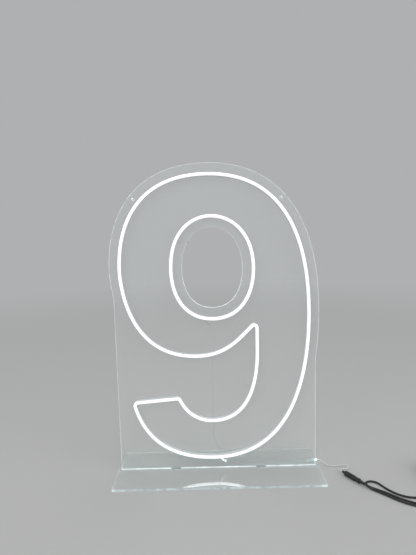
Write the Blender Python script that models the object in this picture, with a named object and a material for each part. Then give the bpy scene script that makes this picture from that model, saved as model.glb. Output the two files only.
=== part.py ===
"""Light-up number nine: white silicone sleeves with LED strips inside, on a clear panel that slots into a clear base.

X runs to the right, Y away from the viewer and Z up. The origin is the middle of the base plate's underside.
"""

import math

import bmesh
import bpy
from mathutils import Matrix, Vector
from mathutils.geometry import interpolate_bezier

mm = 0.001

# Clearance between pieces that touch
fit_gap = 0.3 * mm

# The nine, measured on the sleeve's centre line
digit_width = 359.2 * mm
digit_height = 552.9 * mm
digit_lift = 27.7 * mm

# Clear base plate
base_depth = 134 * mm
base_thickness = 5 * mm
base_overhang = 6.8 * mm

# Clear back panel
panel_thickness = 5 * mm
panel_margin = 18.9 * mm
foot_inset = 6 * mm
cutout_margin = 17.3 * mm
tab_width = 20 * mm
tab_spacing = 172 * mm
hanger_bore = 4.5 * mm

# Silicone sleeve and its channel
sleeve_width = 6 * mm
sleeve_depth = 12 * mm
channel_width = 4.4 * mm
channel_height = 2.4 * mm
channel_floor = 3 * mm
joint_gap = 0.5 * mm
joint_advance = 9.4 * mm

# LED strip and the plugs that seal the channel
strip_width = 3.8 * mm
strip_thickness = 0.5 * mm
plug_length = 3 * mm
strip_start = 7 * mm
chip_pitch = 16.7 * mm
chip_width = 2.8 * mm
chip_length = 3.5 * mm
chip_height = 0.8 * mm

# Thin leads from the strips to the splice
lead_diameter = 1.6 * mm
lead_exit = 4.6 * mm
lead_drop = 15.5 * mm
lead_slant = 7.2 * mm
lead_play = 0.6 * mm
lead_run = 6 * mm
lead_pair = 3.6 * mm

# Splice at the panel's corner and the clip that holds it
splice_diameter = 5.4 * mm
splice_length = 20 * mm
splice_overhang = 5.5 * mm
splice_height = 7 * mm
clip_length = 9 * mm
clip_wall = 1.2 * mm

# Low-voltage lead with its inline jack
supply_diameter = 2.6 * mm
jack_diameter = 9.6 * mm
jack_body = 15 * mm
jack_relief = 6 * mm
socket_bore = 6.1 * mm
socket_depth = 10 * mm
pin_diameter = 2.1 * mm
pin_root = 3 * mm

# Plug on the adapter's cord
barrel_diameter = 5.5 * mm
barrel_bore = 2.8 * mm
barrel_length = 9.4 * mm
barrel_root = 4 * mm
plug_diameter = 9.6 * mm
plug_body = 18 * mm
plug_relief = 11 * mm
seat_gap = 0.5 * mm

# Adapter's cord and its coil
cord_diameter = 3.6 * mm
coil_inner = 13.3 * mm
coil_pitch = 4.2 * mm
coil_turns = 6.5
tie_width = 3 * mm
tie_thickness = 0.8 * mm

# Adapter
adapter_width = 40 * mm
adapter_height = 27 * mm
adapter_case = 46 * mm
adapter_cover = 20 * mm
adapter_corner = 4 * mm
adapter_edge = 1.5 * mm
relief_length = 18 * mm
relief_root = 3 * mm
relief_diameter = 7 * mm
blade_width = 6.3 * mm
blade_thickness = 1.5 * mm
blade_length = 17 * mm
blade_root = 4 * mm
blade_spacing = 12.7 * mm
blade_hole = 3.1 * mm
blade_hole_reach = 11.7 * mm

# Knots of both loops, walked anticlockwise as seen from the front. Places are shares of the digit's width from
# its middle and of its height from its lowest point; then come the handle that arrives, the handle that leaves
# and the bend's radius, which is zero where the line runs smoothly through.
peak_bend = 5.6 * mm
tail_bend = 6.6 * mm
outline_shares = [
    ((-0.022, 0.000), (0.340, 0.000), (0.450, 0.000), 0),
    ((0.500, 0.516), (0.000, 0.197), (0.000, 0.340), 0),
    ((-0.032, 1.000), (-0.324, 0.000), (-0.389, 0.000), 0),
    ((-0.500, 0.682), (0.000, -0.130), (0.000, -0.042), 0),
    ((-0.103, 0.375), (0.375, 0.000), (0.160, 0.000), 0),
    ((0.222, 0.496), (0.067, 0.043), (0.000, -0.035), peak_bend),
    ((0.222, 0.390), (0.000, -0.035), (0.000, -0.087), 0),
    ((-0.025, 0.138), (-0.220, 0.000), (-0.066, 0.000), 0),
    ((-0.206, 0.222), (-0.038, 0.055), (-0.083, -0.004), tail_bend),
    ((-0.455, 0.209), (-0.083, -0.004), (0.022, -0.048), tail_bend),
]
counter_shares = [
    ((-0.012, 0.507), (0.136, 0.000), (0.144, 0.000), 0),
    ((0.207, 0.683), (0.000, 0.099), (0.000, 0.114), 0),
    ((-0.017, 0.861), (-0.119, 0.000), (-0.084, 0.000), 0),
    ((-0.229, 0.681), (0.000, -0.139), (0.000, -0.104), 0),
]
counter_joint_share = 0.63
hanger_shares = (0.296, 0.438)

# Where the counter's lead runs behind the panel: first along the counter, as shares of its length from its
# joint, then down to the foot, as shares of the digit's width and height
counter_lead_shares = (0.04, 0.10, 0.17, 0.24, 0.30)
lead_down_shares = ((-0.012, 0.46), (-0.020, 0.36), (-0.024, 0.25), (-0.022, 0.13), (-0.012, 0.04))
run_sag_shares = ((0.16, 0.62), (0.32, 0.12), (0.52, 0.0), (0.74, 0.15))

# Cords' free routes
supply_route = [
    (208.6, 6.6, 10.7), (213.2, 5.2, 7.4), (217.8, 3.4, 4.2), (223.6, 1.6, 2.0), (231.0, 0.4, 1.4),
    (239.0, 0.4, 1.4), (247.4, 1.6, 1.4), (255.5, 2.4, 1.4), (260.2, 0.6, 1.4), (262.2, -4.0, 1.4),
    (260.2, -8.6, 1.4), (255.5, -10.6, 1.4), (250.0, -11.7, 1.4), (244.4, -13.1, 1.5), (241.2, -15.4, 1.9),
    (240.0, -18.8, 3.0),
]
jack_tail = Vector((243.2, -25.8, 0)) * mm
plug_heading = math.radians(-56.7)
cord_route = [
    (279.0, -78.4, 2.6), (286.9, -86.4, 2.0), (297.9, -96.4, 1.9), (313.0, -111.8, 1.9), (324.0, -120.6, 1.9),
    (334.6, -126.6, 1.9), (342.0, -131.2, 1.9), (347.4, -137.0, 1.9), (350.2, -141.8, 1.9), (356.4, -144.0, 1.9),
    (362.0, -140.8, 1.9), (364.0, -134.6, 1.9), (361.8, -128.6, 1.9), (356.2, -125.8, 1.9), (348.6, -124.8, 1.9),
    (339.8, -121.2, 1.9), (329.3, -114.8, 1.9), (316.4, -105.2, 1.9), (302.6, -91.6, 1.9), (291.0, -82.0, 1.9),
    (283.2, -76.2, 1.9), (277.2, -71.2, 1.9), (274.6, -65.0, 1.9), (276.6, -58.8, 1.9), (282.2, -55.6, 1.9),
    (289.2, -55.8, 1.9), (295.8, -59.0, 1.9), (301.0, -67.0, 1.9), (306.2, -77.8, 1.9), (313.6, -88.8, 1.9),
    (324.0, -98.8, 1.9), (336.0, -104.8, 1.9), (348.4, -106.6, 1.9), (360.8, -106.9, 2.3), (366.9, -109.1, 2.8),
]
coil_middle = Vector((396, -122, 0)) * mm
tail_rise = 20 * mm

# Fineness
most_turn = math.radians(5.5)
bend_step = math.radians(15)
curve_steps = 41
ease_rounds = 14
dome_steps = 6
round_segments = 16


# Materials

def finish(name, colour, roughness, metallic=0.0, clear=0.0, glow=0.0):
    """Principled material; clear is its transmission and glow the strength of its own light."""
    material = bpy.data.materials.new(name)
    material.use_nodes = True
    shader = material.node_tree.nodes["Principled BSDF"]
    shader.inputs["Base Color"].default_value = (*colour, 1.0)
    shader.inputs["Roughness"].default_value = roughness
    shader.inputs["Metallic"].default_value = metallic
    shader.inputs["Transmission Weight"].default_value = clear
    shader.inputs["Emission Color"].default_value = (*colour, 1.0)
    shader.inputs["Emission Strength"].default_value = glow
    return material


# Objects

def keep(name, data, material):
    """Object with this mesh or curve and this material."""
    thing = bpy.data.objects.new(name, data)
    data.materials.append(material)
    bpy.context.collection.objects.link(thing)
    return thing


def solid(name, bm, material):
    """Object from a bmesh, with its doubles merged and its faces turned outwards."""
    bmesh.ops.remove_doubles(bm, verts=bm.verts, dist=0.001 * mm)
    bmesh.ops.recalc_face_normals(bm, faces=bm.faces)
    mesh = bpy.data.meshes.new(name)
    bm.to_mesh(mesh)
    bm.free()
    return keep(name, mesh, material)


def combine(thing, tool, operation):
    """Boolean of an object with a tool that stays out of the part."""
    tool.hide_render = True
    tool.display_type = "WIRE"
    modifier = thing.modifiers.new(tool.name, "BOOLEAN")
    modifier.operation = operation
    modifier.solver = "EXACT"
    modifier.object = tool


def cut(thing, tool):
    """Takes the tool's shape out of an object."""
    combine(thing, tool, "DIFFERENCE")


# Lines in the digit's plane, as points (x, z)

def place(share):
    """Point of the digit's plane at these shares of its width and height."""
    return Vector((share[0] * digit_width, digit_bottom() + share[1] * digit_height))


def span(share):
    """Step in the digit's plane of these shares of its width and height."""
    return Vector((share[0] * digit_width, share[1] * digit_height))


def digit_bottom():
    """Height of the lowest point of the sleeve's centre line."""
    return base_thickness + fit_gap + digit_lift


def turn_of(before, after):
    """Signed angle from one direction to the next, positive to the left."""
    return math.atan2(before.x * after.y - before.y * after.x, before.dot(after))


def bend_arc(corner, arrive, leave, radius):
    """Points of the arc that rounds a corner, or the corner itself where the line runs through smoothly."""
    if not radius:
        return [corner]
    turn = turn_of(arrive, leave)
    entry = corner - arrive.normalized() * radius * math.tan(abs(turn) / 2)
    side = Vector((-arrive.y, arrive.x)).normalized() * math.copysign(radius, turn)
    steps = math.ceil(abs(turn) / bend_step)
    return [entry + side - Matrix.Rotation(turn * k / steps, 2) @ side for k in range(steps + 1)]


def thinned(points):
    """Keeps both ends and each point where the line has turned by most_turn since the last one kept."""
    kept = [points[0]]
    turned = 0.0
    for before, here, after in zip(points, points[1:], points[2:]):
        turned += abs(turn_of(here - before, after - here))
        if turned >= most_turn:
            kept.append(here)
            turned = 0.0
    return kept + [points[-1]]


def closed_path(knots):
    """Closed line through the knots, with a curve between two knots and an arc at each bend."""
    arcs = [bend_arc(place(at), span(arrive), span(leave), bend) for at, arrive, leave, bend in knots]
    path = []
    for k, arc in enumerate(arcs):
        following = (k + 1) % len(knots)
        start, end = arc[-1], arcs[following][0]
        leave, arrive = span(knots[k][2]), span(knots[following][1])
        curve = interpolate_bezier(start, start + leave, end - arrive, end, curve_steps)
        path += arc + thinned(curve)[1:-1]
    return path


def length_of(line):
    """Length of an open line."""
    return sum((b - a).length for a, b in zip(line, line[1:]))


def spot(line, distance):
    """Point of an open line at a distance from its start, and the line's direction there."""
    for a, b in zip(line, line[1:]):
        step = (b - a).length
        if distance <= step:
            return a + (b - a) * distance / step, (b - a).normalized()
        distance -= step
    return b, (b - a).normalized()


def stretch(line, first, last):
    """Part of an open line between two distances from its start."""
    inner = []
    travelled = 0.0
    for a, b in zip(line, line[1:]):
        travelled += (b - a).length
        if first + fit_gap < travelled < last - fit_gap:
            inner.append(b)
    return [spot(line, first)[0]] + inner + [spot(line, last)[0]]


def opened(path, start):
    """Closed path cut open at a distance from its first point, with the joint's gap between its ends."""
    around = length_of(path + path[:1])
    return stretch(path + path + path[:1], start + joint_gap / 2, start + around - joint_gap / 2)


def right_of(direction):
    """Unit vector to the right of a direction, which is outwards on an anticlockwise loop."""
    return Vector((direction.y, -direction.x)).normalized()


def mitred(line):
    """Each point of an open line with the vector across it, lengthened at a turn so that offsets stay parallel."""
    ways = [(b - a).normalized() for a, b in zip(line, line[1:])]
    before, after = ways[:1] + ways, ways + ways[-1:]
    result = []
    for point, a, b in zip(line, before, after):
        across = right_of(a + b)
        result.append((point, across / across.dot(right_of(a))))
    return result


def in_depth(point, depth):
    """Space point from a point of the digit's plane and its depth along Y."""
    return Vector((point.x, depth, point.y))


# Forms

def sweep(name, line, loops, front, material):
    """Solid that follows a line with a profile of one or two loops of (across, out of the panel) points."""
    bm = bmesh.new()
    rings = []
    for point, across in mitred(line):
        rings.append([
            [bm.verts.new(in_depth(point + across * u, front - v)) for u, v in loop] for loop in loops
        ])
    for ring, following in zip(rings, rings[1:]):
        for near, far in zip(ring, following):
            for k in range(len(near)):
                bm.faces.new((near[k - 1], near[k], far[k], far[k - 1]))
    for ring in (rings[0], rings[-1]):
        edges = [bm.edges.get((loop[k - 1], loop[k])) for loop in ring for k in range(len(loop))]
        bmesh.ops.triangle_fill(bm, edges=edges, use_beauty=True)
    return solid(name, bm, material)


def plate(name, outlines, thickness, material):
    """Flat sheet from an outline and its holes, centred on its own plane."""
    curve = bpy.data.curves.new(name, "CURVE")
    curve.dimensions = "2D"
    curve.fill_mode = "BOTH"
    curve.extrude = thickness / 2
    for outline in outlines:
        spline = curve.splines.new("POLY")
        spline.points.add(len(outline) - 1)
        for point, (x, y) in zip(spline.points, outline):
            point.co = (x, y, 0.0, 1.0)
        spline.use_cyclic_u = True
    return keep(name, curve, material)


def box_outline(x, y, width, height):
    """Corners of a rectangle around a point."""
    return [(x + i * width / 2, y + j * height / 2) for i, j in ((-1, -1), (1, -1), (1, 1), (-1, 1))]


def circle_outline(centre, diameter):
    """Corners of a many-sided hole."""
    angles = [2 * math.pi * k / round_segments for k in range(round_segments)]
    return [(centre.x + math.cos(a) * diameter / 2, centre.y + math.sin(a) * diameter / 2) for a in angles]


def turned(name, profile, start, heading, material):
    """Solid turned from (radius, along) points, laid from a start point along a heading."""
    bm = bmesh.new()
    points = [bm.verts.new((radius, 0.0, along)) for radius, along in profile]
    edges = [bm.edges.new(pair) for pair in zip(points, points[1:])]
    if profile[0][0] and profile[-1][0]:
        edges.append(bm.edges.new((points[-1], points[0])))
    bmesh.ops.spin(
        bm, geom=points + edges, cent=(0, 0, 0), axis=(0, 0, 1), angle=2 * math.pi, steps=round_segments,
        use_merge=True, use_duplicate=False,
    )
    spin_to = Vector((0, 0, 1)).rotation_difference(heading).to_matrix().to_4x4()
    bmesh.ops.transform(bm, matrix=Matrix.Translation(start) @ spin_to, verts=bm.verts)
    return solid(name, bm, material)


def tube(name, points, diameter, material, fineness=2):
    """Round tube with closed ends along a line of points."""
    curve = bpy.data.curves.new(name, "CURVE")
    curve.dimensions = "3D"
    curve.twist_mode = "MINIMUM"
    curve.bevel_depth = diameter / 2
    curve.bevel_resolution = fineness
    curve.use_fill_caps = True
    spline = curve.splines.new("POLY")
    spline.points.add(len(points) - 1)
    for point, spot_at in zip(spline.points, points):
        point.co = (*spot_at, 1.0)
    return keep(name, curve, material)


def eased(line, step):
    """Evenly spaced points along a line, relaxed so that no bend is sharp; both ends keep their direction."""
    total = length_of(line)
    count = round(total / step)
    points = [spot(line, total * k / count)[0] for k in range(count + 1)]
    for _ in range(ease_rounds):
        inner = [a / 4 + b / 2 + c / 4 for a, b, c in zip(points[1:-3], points[2:-2], points[3:-1])]
        points = points[:2] + inner + points[-2:]
    return points


def smooth_route(points, diameter):
    """Points every couple of diameters, closer in a bend, along a smooth curve through a route's own points."""
    chords = [b - a for a, b in zip(points, points[1:])]
    ways = [chord.normalized() for chord in chords]
    tangents = [ways[0]] + [(a + b).normalized() for a, b in zip(ways, ways[1:])] + [ways[-1]]
    fine = [points[0]]
    for k, chord in enumerate(chords):
        reach = chord.length / 3
        start, end = points[k], points[k + 1]
        fine += interpolate_bezier(
            start, start + tangents[k] * reach, end - tangents[k + 1] * reach, end, round_segments
        )[1:]
    fine = eased(fine, diameter / 3)
    kept = [fine[0]]
    way = fine[1] - fine[0]
    for here, after in zip(fine[1:], fine[2:]):
        step = (here - kept[-1]).length
        bent = way.angle(after - here)
        if step > diameter * 3 or (bent > most_turn * 3 and step > diameter / 2):
            kept.append(here)
            way = after - here
    return kept + [fine[-1]]


def rounded_block(name, low, high, corner, edge, square_end, material):
    """Block with rounded long edges along Y, and a softened rim at the end that isn't its square one."""
    bm = bmesh.new()
    middle = (low + high) / 2
    size = high - low
    bmesh.ops.create_cube(bm, size=1.0, matrix=Matrix.Translation(middle) @ Matrix.Diagonal((*size, 1.0)))
    long_edges = [e for e in bm.edges if abs((e.verts[0].co - e.verts[1].co).y) > size.y / 2]
    bmesh.ops.bevel(bm, geom=long_edges, offset=corner, segments=3, profile=0.5, affect="EDGES", material=-1)
    soft_y = high.y if square_end == "low" else low.y
    rim = [e for e in bm.edges if all(abs(v.co.y - soft_y) < fit_gap for v in e.verts)]
    bmesh.ops.bevel(bm, geom=rim, offset=edge, segments=2, profile=0.5, affect="EDGES", material=-1)
    return solid(name, bm, material)


def block(name, middle, size, material):
    """Plain block around a point, used for cutters and blades."""
    bm = bmesh.new()
    bmesh.ops.create_cube(bm, size=1.0, matrix=Matrix.Translation(middle) @ Matrix.Diagonal((*size, 1.0)))
    return solid(name, bm, material)


# Sleeves, strips and plugs

def sleeve_profile():
    """Square back and round dome of the sleeve, and its channel."""
    half = sleeve_width / 2
    shoulder = sleeve_depth - half
    dome = [
        (half * math.cos(math.pi * k / dome_steps), shoulder + half * math.sin(math.pi * k / dome_steps))
        for k in range(dome_steps + 1)
    ]
    outside = [(-half, 0.0), (half, 0.0)] + dome
    return outside, channel_box(channel_width, channel_floor, channel_height)


def channel_box(width, floor, height):
    """Rectangle inside the sleeve, across and out of the panel."""
    return [(-width / 2, floor), (width / 2, floor), (width / 2, floor + height), (-width / 2, floor + height)]


def sleeve_back():
    """Depth along Y of the sleeve's flat back, just in front of the panel."""
    return -(panel_thickness / 2 + fit_gap)


def channel_middle():
    """Depth along Y of the channel's middle."""
    return sleeve_back() - channel_floor - channel_height / 2


def led_strip(name, line, back, material):
    """Flexible strip with its row of LED chips fused on."""
    floor = channel_floor + fit_gap
    strip = sweep(name, line, [channel_box(strip_width, floor, strip_thickness)], back, material)
    bm = bmesh.new()
    sunk = strip_thickness / 2
    size = Matrix.Diagonal((chip_width, chip_height + sunk, chip_length, 1.0))
    depth = back - floor - strip_thickness + sunk - (chip_height + sunk) / 2
    for k in range(int(length_of(line) / chip_pitch)):
        at, way = spot(line, (k + 0.5) * chip_pitch)
        turn = Matrix.Rotation(math.atan2(way.x, way.y), 4, "Y")
        bmesh.ops.create_cube(bm, size=1.0, matrix=Matrix.Translation(in_depth(at, depth)) @ turn @ size)
    combine(strip, solid(name + "_chips", bm, material), "UNION")


def light_line(name, line, side, materials):
    """Sleeve with its strip, its two plugs and the hole where its lead leaves; side is 1 for outwards."""
    silicone, strip, clear = materials
    back = sleeve_back()
    sleeve = sweep(name + "_sleeve", line, sleeve_profile(), back, silicone)
    total = length_of(line)
    led_strip(name + "_led_strip", stretch(line, strip_start, total - plug_length - 2 * fit_gap), back, strip)
    plug_box = channel_box(channel_width - 2 * fit_gap, channel_floor + fit_gap, channel_height - 2 * fit_gap)
    sweep(name + "_start_plug", stretch(line, fit_gap, plug_length), [plug_box], back, clear)
    sweep(name + "_end_plug", stretch(line, total - plug_length, total - fit_gap), [plug_box], back, clear)
    at, way = spot(line, lead_exit)
    out = right_of(way) * side
    bore_start = in_depth(at + out * (channel_width / 2 - fit_gap), channel_middle())
    bore_length = sleeve_width / 2 - channel_width / 2 + 2 * fit_gap
    bore_radius = lead_diameter / 2 + fit_gap
    bore = turned(
        name + "_lead_bore",
        [(0.0, 0.0), (bore_radius, 0.0), (bore_radius, bore_length), (0.0, bore_length)],
        bore_start, in_depth(out, 0.0), silicone,
    )
    cut(sleeve, bore)


# Panel and base

def foot_half():
    """Half the width of the panel's straight-sided foot."""
    return (digit_width + sleeve_width) / 2 + panel_margin - foot_inset


def side_crossing(inner, outer, x):
    """Point between two points where the line crosses an upright at x."""
    share = (x - inner.x) / (outer.x - inner.x)
    return inner + (outer - inner) * share


def panel_outline(outline):
    """Contour around the nine, closed by the straight-sided foot and its tabs."""
    reach = sleeve_width / 2 + panel_margin
    ring = [point + across * reach for point, across in mitred(outline)]
    half = foot_half()
    first = next(k for k, point in enumerate(ring) if point.x > half)
    last = max(k for k, point in enumerate(ring) if point.x < -half)
    contour = [side_crossing(ring[first - 1], ring[first], half)] + ring[first:last + 1]
    contour.append(side_crossing(ring[last + 1], ring[last], -half))
    foot = base_thickness + fit_gap
    tabs = []
    for x in (-tab_spacing / 2, tab_spacing / 2):
        left, right = x - tab_width / 2, x + tab_width / 2
        tabs += [(left, foot), (left, fit_gap), (right, fit_gap), (right, foot)]
    return [tuple(point) for point in contour] + [(-half, foot)] + tabs + [(half, foot)]


def lead_hole(outline):
    """Middle of the hole that takes the outline's lead through the panel, below the joint."""
    at, way = spot(outline, lead_exit + lead_slant)
    return at + right_of(way) * lead_drop


def back_panel(outline, counter_path, material):
    """Clear sheet that carries both sleeves, with its cut-out, hanging holes and lead hole."""
    reach = sleeve_width / 2 + cutout_margin
    ring = mitred(counter_path + counter_path[:1])[:-1]
    closing = mitred(counter_path[-1:] + counter_path[:2])[1]
    cutout = [tuple(point - across * reach) for point, across in [closing] + ring[1:]]
    hangers = []
    for share in hanger_shares:
        at, way = spot(outline, share * length_of(outline))
        hangers.append(circle_outline(at + right_of(way) * (sleeve_width + panel_margin) / 2, hanger_bore))
    lead = circle_outline(lead_hole(outline), lead_diameter + 2 * lead_play)
    panel = plate("back_panel", [panel_outline(outline), cutout, *hangers, lead], panel_thickness, material)
    panel.rotation_euler = (math.pi / 2, 0, 0)


def base_plate(material):
    """Clear plate that the panel's tabs drop into."""
    width = 2 * (foot_half() + base_overhang)
    slots = [
        box_outline(x, 0.0, tab_width + 2 * fit_gap, panel_thickness + 2 * fit_gap)
        for x in (-tab_spacing / 2, tab_spacing / 2)
    ]
    base = plate("base_plate", [box_outline(0.0, 0.0, width, base_depth), *slots], base_thickness, material)
    base.location.z = base_thickness / 2


# Leads held by the panel

def behind_panel():
    """Depth along Y of a thin lead that lies on the panel's back."""
    return panel_thickness / 2 + fit_gap + lead_diameter / 2


def splice_start():
    """Near end of the splice's axis, behind the panel's lower right corner."""
    x = foot_half() + splice_overhang - splice_length
    depth = panel_thickness / 2 + 2 * fit_gap + clip_wall + splice_diameter / 2
    return Vector((x, depth, base_thickness + splice_height))


def leave_sleeve(line, side):
    """First points of a lead: in the channel, through the sleeve's wall and clear of it."""
    at, way = spot(line, lead_exit)
    out = right_of(way) * side
    depth = channel_middle()
    inside = at + out * (channel_width / 2 - lead_diameter)
    wall = at + out * (sleeve_width / 2 + fit_gap)
    clear = at + out * (sleeve_width / 2 + lead_diameter * 2)
    return [in_depth(inside, depth), in_depth(wall, depth), in_depth(clear, depth + lead_diameter / 2)]


def foot_run(start_x, rise):
    """Points along the panel's foot from an x to the splice; rise lifts the upper lead of the pair."""
    end = splice_start()
    low = base_thickness + fit_gap + lead_run
    high = digit_bottom() - lead_drop
    points = []
    for along, up in run_sag_shares:
        x = start_x + (end.x - start_x) * along
        points.append(Vector((x, behind_panel() + lead_play * along, low + (high - low) * up + rise)))
    lift = Vector((0, 0, (lead_diameter / 2 + fit_gap) * (1 if rise else -1)))
    points.append(end + lift - Vector((4 * lead_diameter, 0, 0)))
    points.append(end + lift - Vector((fit_gap, 0, 0)))
    return points


def outline_lead(outline, material):
    """Lead from the outline's strip, through the panel's lower hole and along its foot to the splice."""
    hole = lead_hole(outline)
    front = -(panel_thickness / 2 + fit_gap)
    bulge = behind_panel() + lead_diameter
    route = leave_sleeve(outline, 1)
    route += [in_depth(hole, front), in_depth(hole, -front)]
    route.append(in_depth(hole + Vector((lead_diameter, 0)), bulge))
    route.append(in_depth(hole + Vector((4 * lead_diameter, 0)), bulge))
    route += foot_run(hole.x, 0.0)
    tube("outline_lead", smooth_route(route, lead_diameter), lead_diameter, material)


def counter_lead(outline, counter, material):
    """Lead from the counter's strip, over the cut-out's edge and down the panel's back to the splice."""
    at, way = spot(counter, lead_exit)
    inward = -right_of(way)
    edge = at + inward * (sleeve_width / 2 + cutout_margin)
    wrap = panel_thickness / 2 + lead_play + lead_diameter / 2
    route = leave_sleeve(counter, -1)
    route.append(in_depth(edge - inward * 2 * lead_diameter, -wrap - fit_gap))
    for angle in (-90, -45, 0, 45, 90):
        turn = math.radians(angle)
        route.append(in_depth(edge + inward * wrap * math.cos(turn), wrap * math.sin(turn)))
    total = length_of(counter)
    route += [in_depth(spot(counter, share * total)[0], behind_panel()) for share in counter_lead_shares]
    route += [in_depth(place(share), behind_panel()) for share in lead_down_shares]
    route += foot_run(lead_hole(outline).x, lead_pair)
    tube("counter_lead", smooth_route(route, lead_diameter), lead_diameter, material)


def splice_and_clip(sleeve_material, clip_material):
    """Shrunk sleeve where both leads meet the supply lead, and the saddle that holds it to the panel."""
    start = splice_start()
    radius = splice_diameter / 2
    taper = radius / 2
    profile = [
        (0.0, 0.0), (radius - taper / 2, 0.0), (radius, taper), (radius, splice_length - 2 * taper),
        (supply_diameter / 2 + taper / 2, splice_length), (0.0, splice_length),
    ]
    turned("lead_splice", profile, start, Vector((1, 0, 0)), sleeve_material)
    back = panel_thickness / 2 + fit_gap
    depth = start.y + radius - back
    height = splice_diameter + 2 * clip_wall + 2 * fit_gap
    middle = Vector((foot_half() - clip_length / 2 - clip_wall, back + depth / 2, start.z))
    clip = block("splice_clip", middle, (clip_length, depth, height), clip_material)
    bore_radius = radius + fit_gap
    bore = turned(
        "splice_bore",
        [(0.0, 0.0), (bore_radius, 0.0), (bore_radius, splice_length), (0.0, splice_length)],
        start, Vector((1, 0, 0)), clip_material,
    )
    mouth = block(
        "clip_mouth", start + Vector((splice_length / 2, depth / 2, 0)),
        (splice_length, depth, splice_diameter * 0.8), clip_material,
    )
    cut(clip, bore)
    cut(clip, mouth)


# Supply lead, jack and plug

def route_points(route):
    """A route's points as vectors."""
    return [Vector(point) * mm for point in route]


def plug_way():
    """Direction along the floor from the jack to its plug."""
    return Vector((math.cos(plug_heading), math.sin(plug_heading), 0))


def jack_start():
    """Tail end of the jack's axis; the jack lies on the floor."""
    return jack_tail + Vector((0, 0, jack_diameter / 2))


def supply_lead(material):
    """Low-voltage lead from the splice, over the floor to the jack."""
    start = splice_start() + Vector((splice_length + fit_gap, 0, 0))
    end = jack_start() - plug_way() * fit_gap
    near = end - plug_way() * supply_diameter * 1.5
    route = [start, start + Vector((supply_diameter, 0, 0)), *route_points(supply_route), near, end]
    tube("supply_lead", smooth_route(route, supply_diameter), supply_diameter, material)


def jack_and_pin(rubber, metal):
    """Inline jack with its relief, its socket and the pin that stands in it."""
    start, way = jack_start(), plug_way()
    radius, bore, pin = jack_diameter / 2, socket_bore / 2, pin_diameter / 2
    neck = supply_diameter / 2 + fit_gap * 3
    length = jack_relief + jack_body
    floor = length - socket_depth
    profile = [
        (0.0, 0.0), (neck, 0.0), (neck + fit_gap * 2, jack_relief), (radius - fit_gap, jack_relief),
        (radius, jack_relief + fit_gap * 4), (radius, length - fit_gap), (radius - fit_gap, length),
        (bore, length), (bore, floor), (pin + fit_gap, floor), (pin + fit_gap, floor - pin_root),
        (0.0, floor - pin_root),
    ]
    turned("dc_jack", profile, start, way, rubber)
    pin_start = start + way * (floor - pin_root + fit_gap)
    pin_length = pin_root + socket_depth - 5 * fit_gap
    pin_profile = [(0.0, 0.0), (pin, 0.0), (pin, pin_length - pin), (pin / 2, pin_length), (0.0, pin_length)]
    turned("dc_jack_pin", pin_profile, pin_start, way, metal)


def plug_start():
    """Front face of the plug's body, just off the jack's mouth."""
    return jack_start() + plug_way() * (jack_relief + jack_body + seat_gap)


def plug_and_barrel(rubber, metal):
    """Plug's body with its grip and relief, and the barrel that goes into the jack."""
    start, way = plug_start(), plug_way()
    radius, barrel, bore = plug_diameter / 2, barrel_diameter / 2, barrel_bore / 2
    neck = cord_diameter / 2 + fit_gap * 2
    length = plug_body + plug_relief
    profile = [
        (0.0, barrel_root + fit_gap), (barrel + fit_gap, barrel_root + fit_gap), (barrel + fit_gap, 0.0),
        (radius - fit_gap, 0.0), (radius, fit_gap), (radius, plug_body * 0.35), (radius * 0.86, plug_body * 0.45),
        (radius * 0.86, plug_body * 0.8), (radius, plug_body * 0.9), (radius * 0.9, plug_body),
        (neck + fit_gap * 3, plug_body), (neck, length), (0.0, length),
    ]
    turned("dc_plug", profile, start, way, rubber)
    reach = barrel_length + barrel_root
    ring = [(bore, 0.0), (barrel, 0.0), (barrel, reach - fit_gap), (barrel - fit_gap, reach), (bore, reach)]
    turned("dc_plug_barrel", ring, start + way * barrel_root, -way, metal)


# Adapter's cord, coil and adapter

def coil_outer():
    """Radius of the coil's outermost turn, on the cord's centre line."""
    return coil_inner + coil_pitch * coil_turns / 2


def coil_lift():
    """Height of the lower layer's centre line above the floor, on top of the tie."""
    return tie_thickness + fit_gap + cord_diameter / 2


def coil_point(turns):
    """Point of the coil after a number of turns: it spirals in, climbs a layer in half a turn and spirals out."""
    half = coil_turns / 2
    radius = coil_inner + coil_pitch * abs(turns - half)
    angle = math.pi + 2 * math.pi * turns
    climb = min(1.0, max(0.0, (turns - half) * 2 + 0.5))
    height = coil_lift() + coil_pitch * climb
    return coil_middle + Vector((radius * math.cos(angle), radius * math.sin(angle), height))


def coil_points():
    """The coil's turns, with a straight end of one diameter before and after them."""
    per_turn = 24
    steps = round(coil_turns * per_turn)
    points = [coil_point(k / per_turn) for k in range(steps + 1)]
    first = points[0] - Vector((0, -cord_diameter, 0))
    last = points[-1] + Vector((0, cord_diameter, 0))
    return [first] + points + [last]


def coil_gap():
    """Least gap between the coil's own turns, measured on points a turn or more apart."""
    points = [coil_point(k / 48) for k in range(round(coil_turns * 48) + 1)]
    least = min(
        (a - b).length for k, a in enumerate(points) for b in points[k + 24:]
    )
    return least - cord_diameter


def adapter_relief_tip():
    """Where the cord enters the adapter's relief."""
    end = coil_points()[-1]
    return Vector((end.x, end.y + tail_rise, adapter_height / 2))


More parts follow.
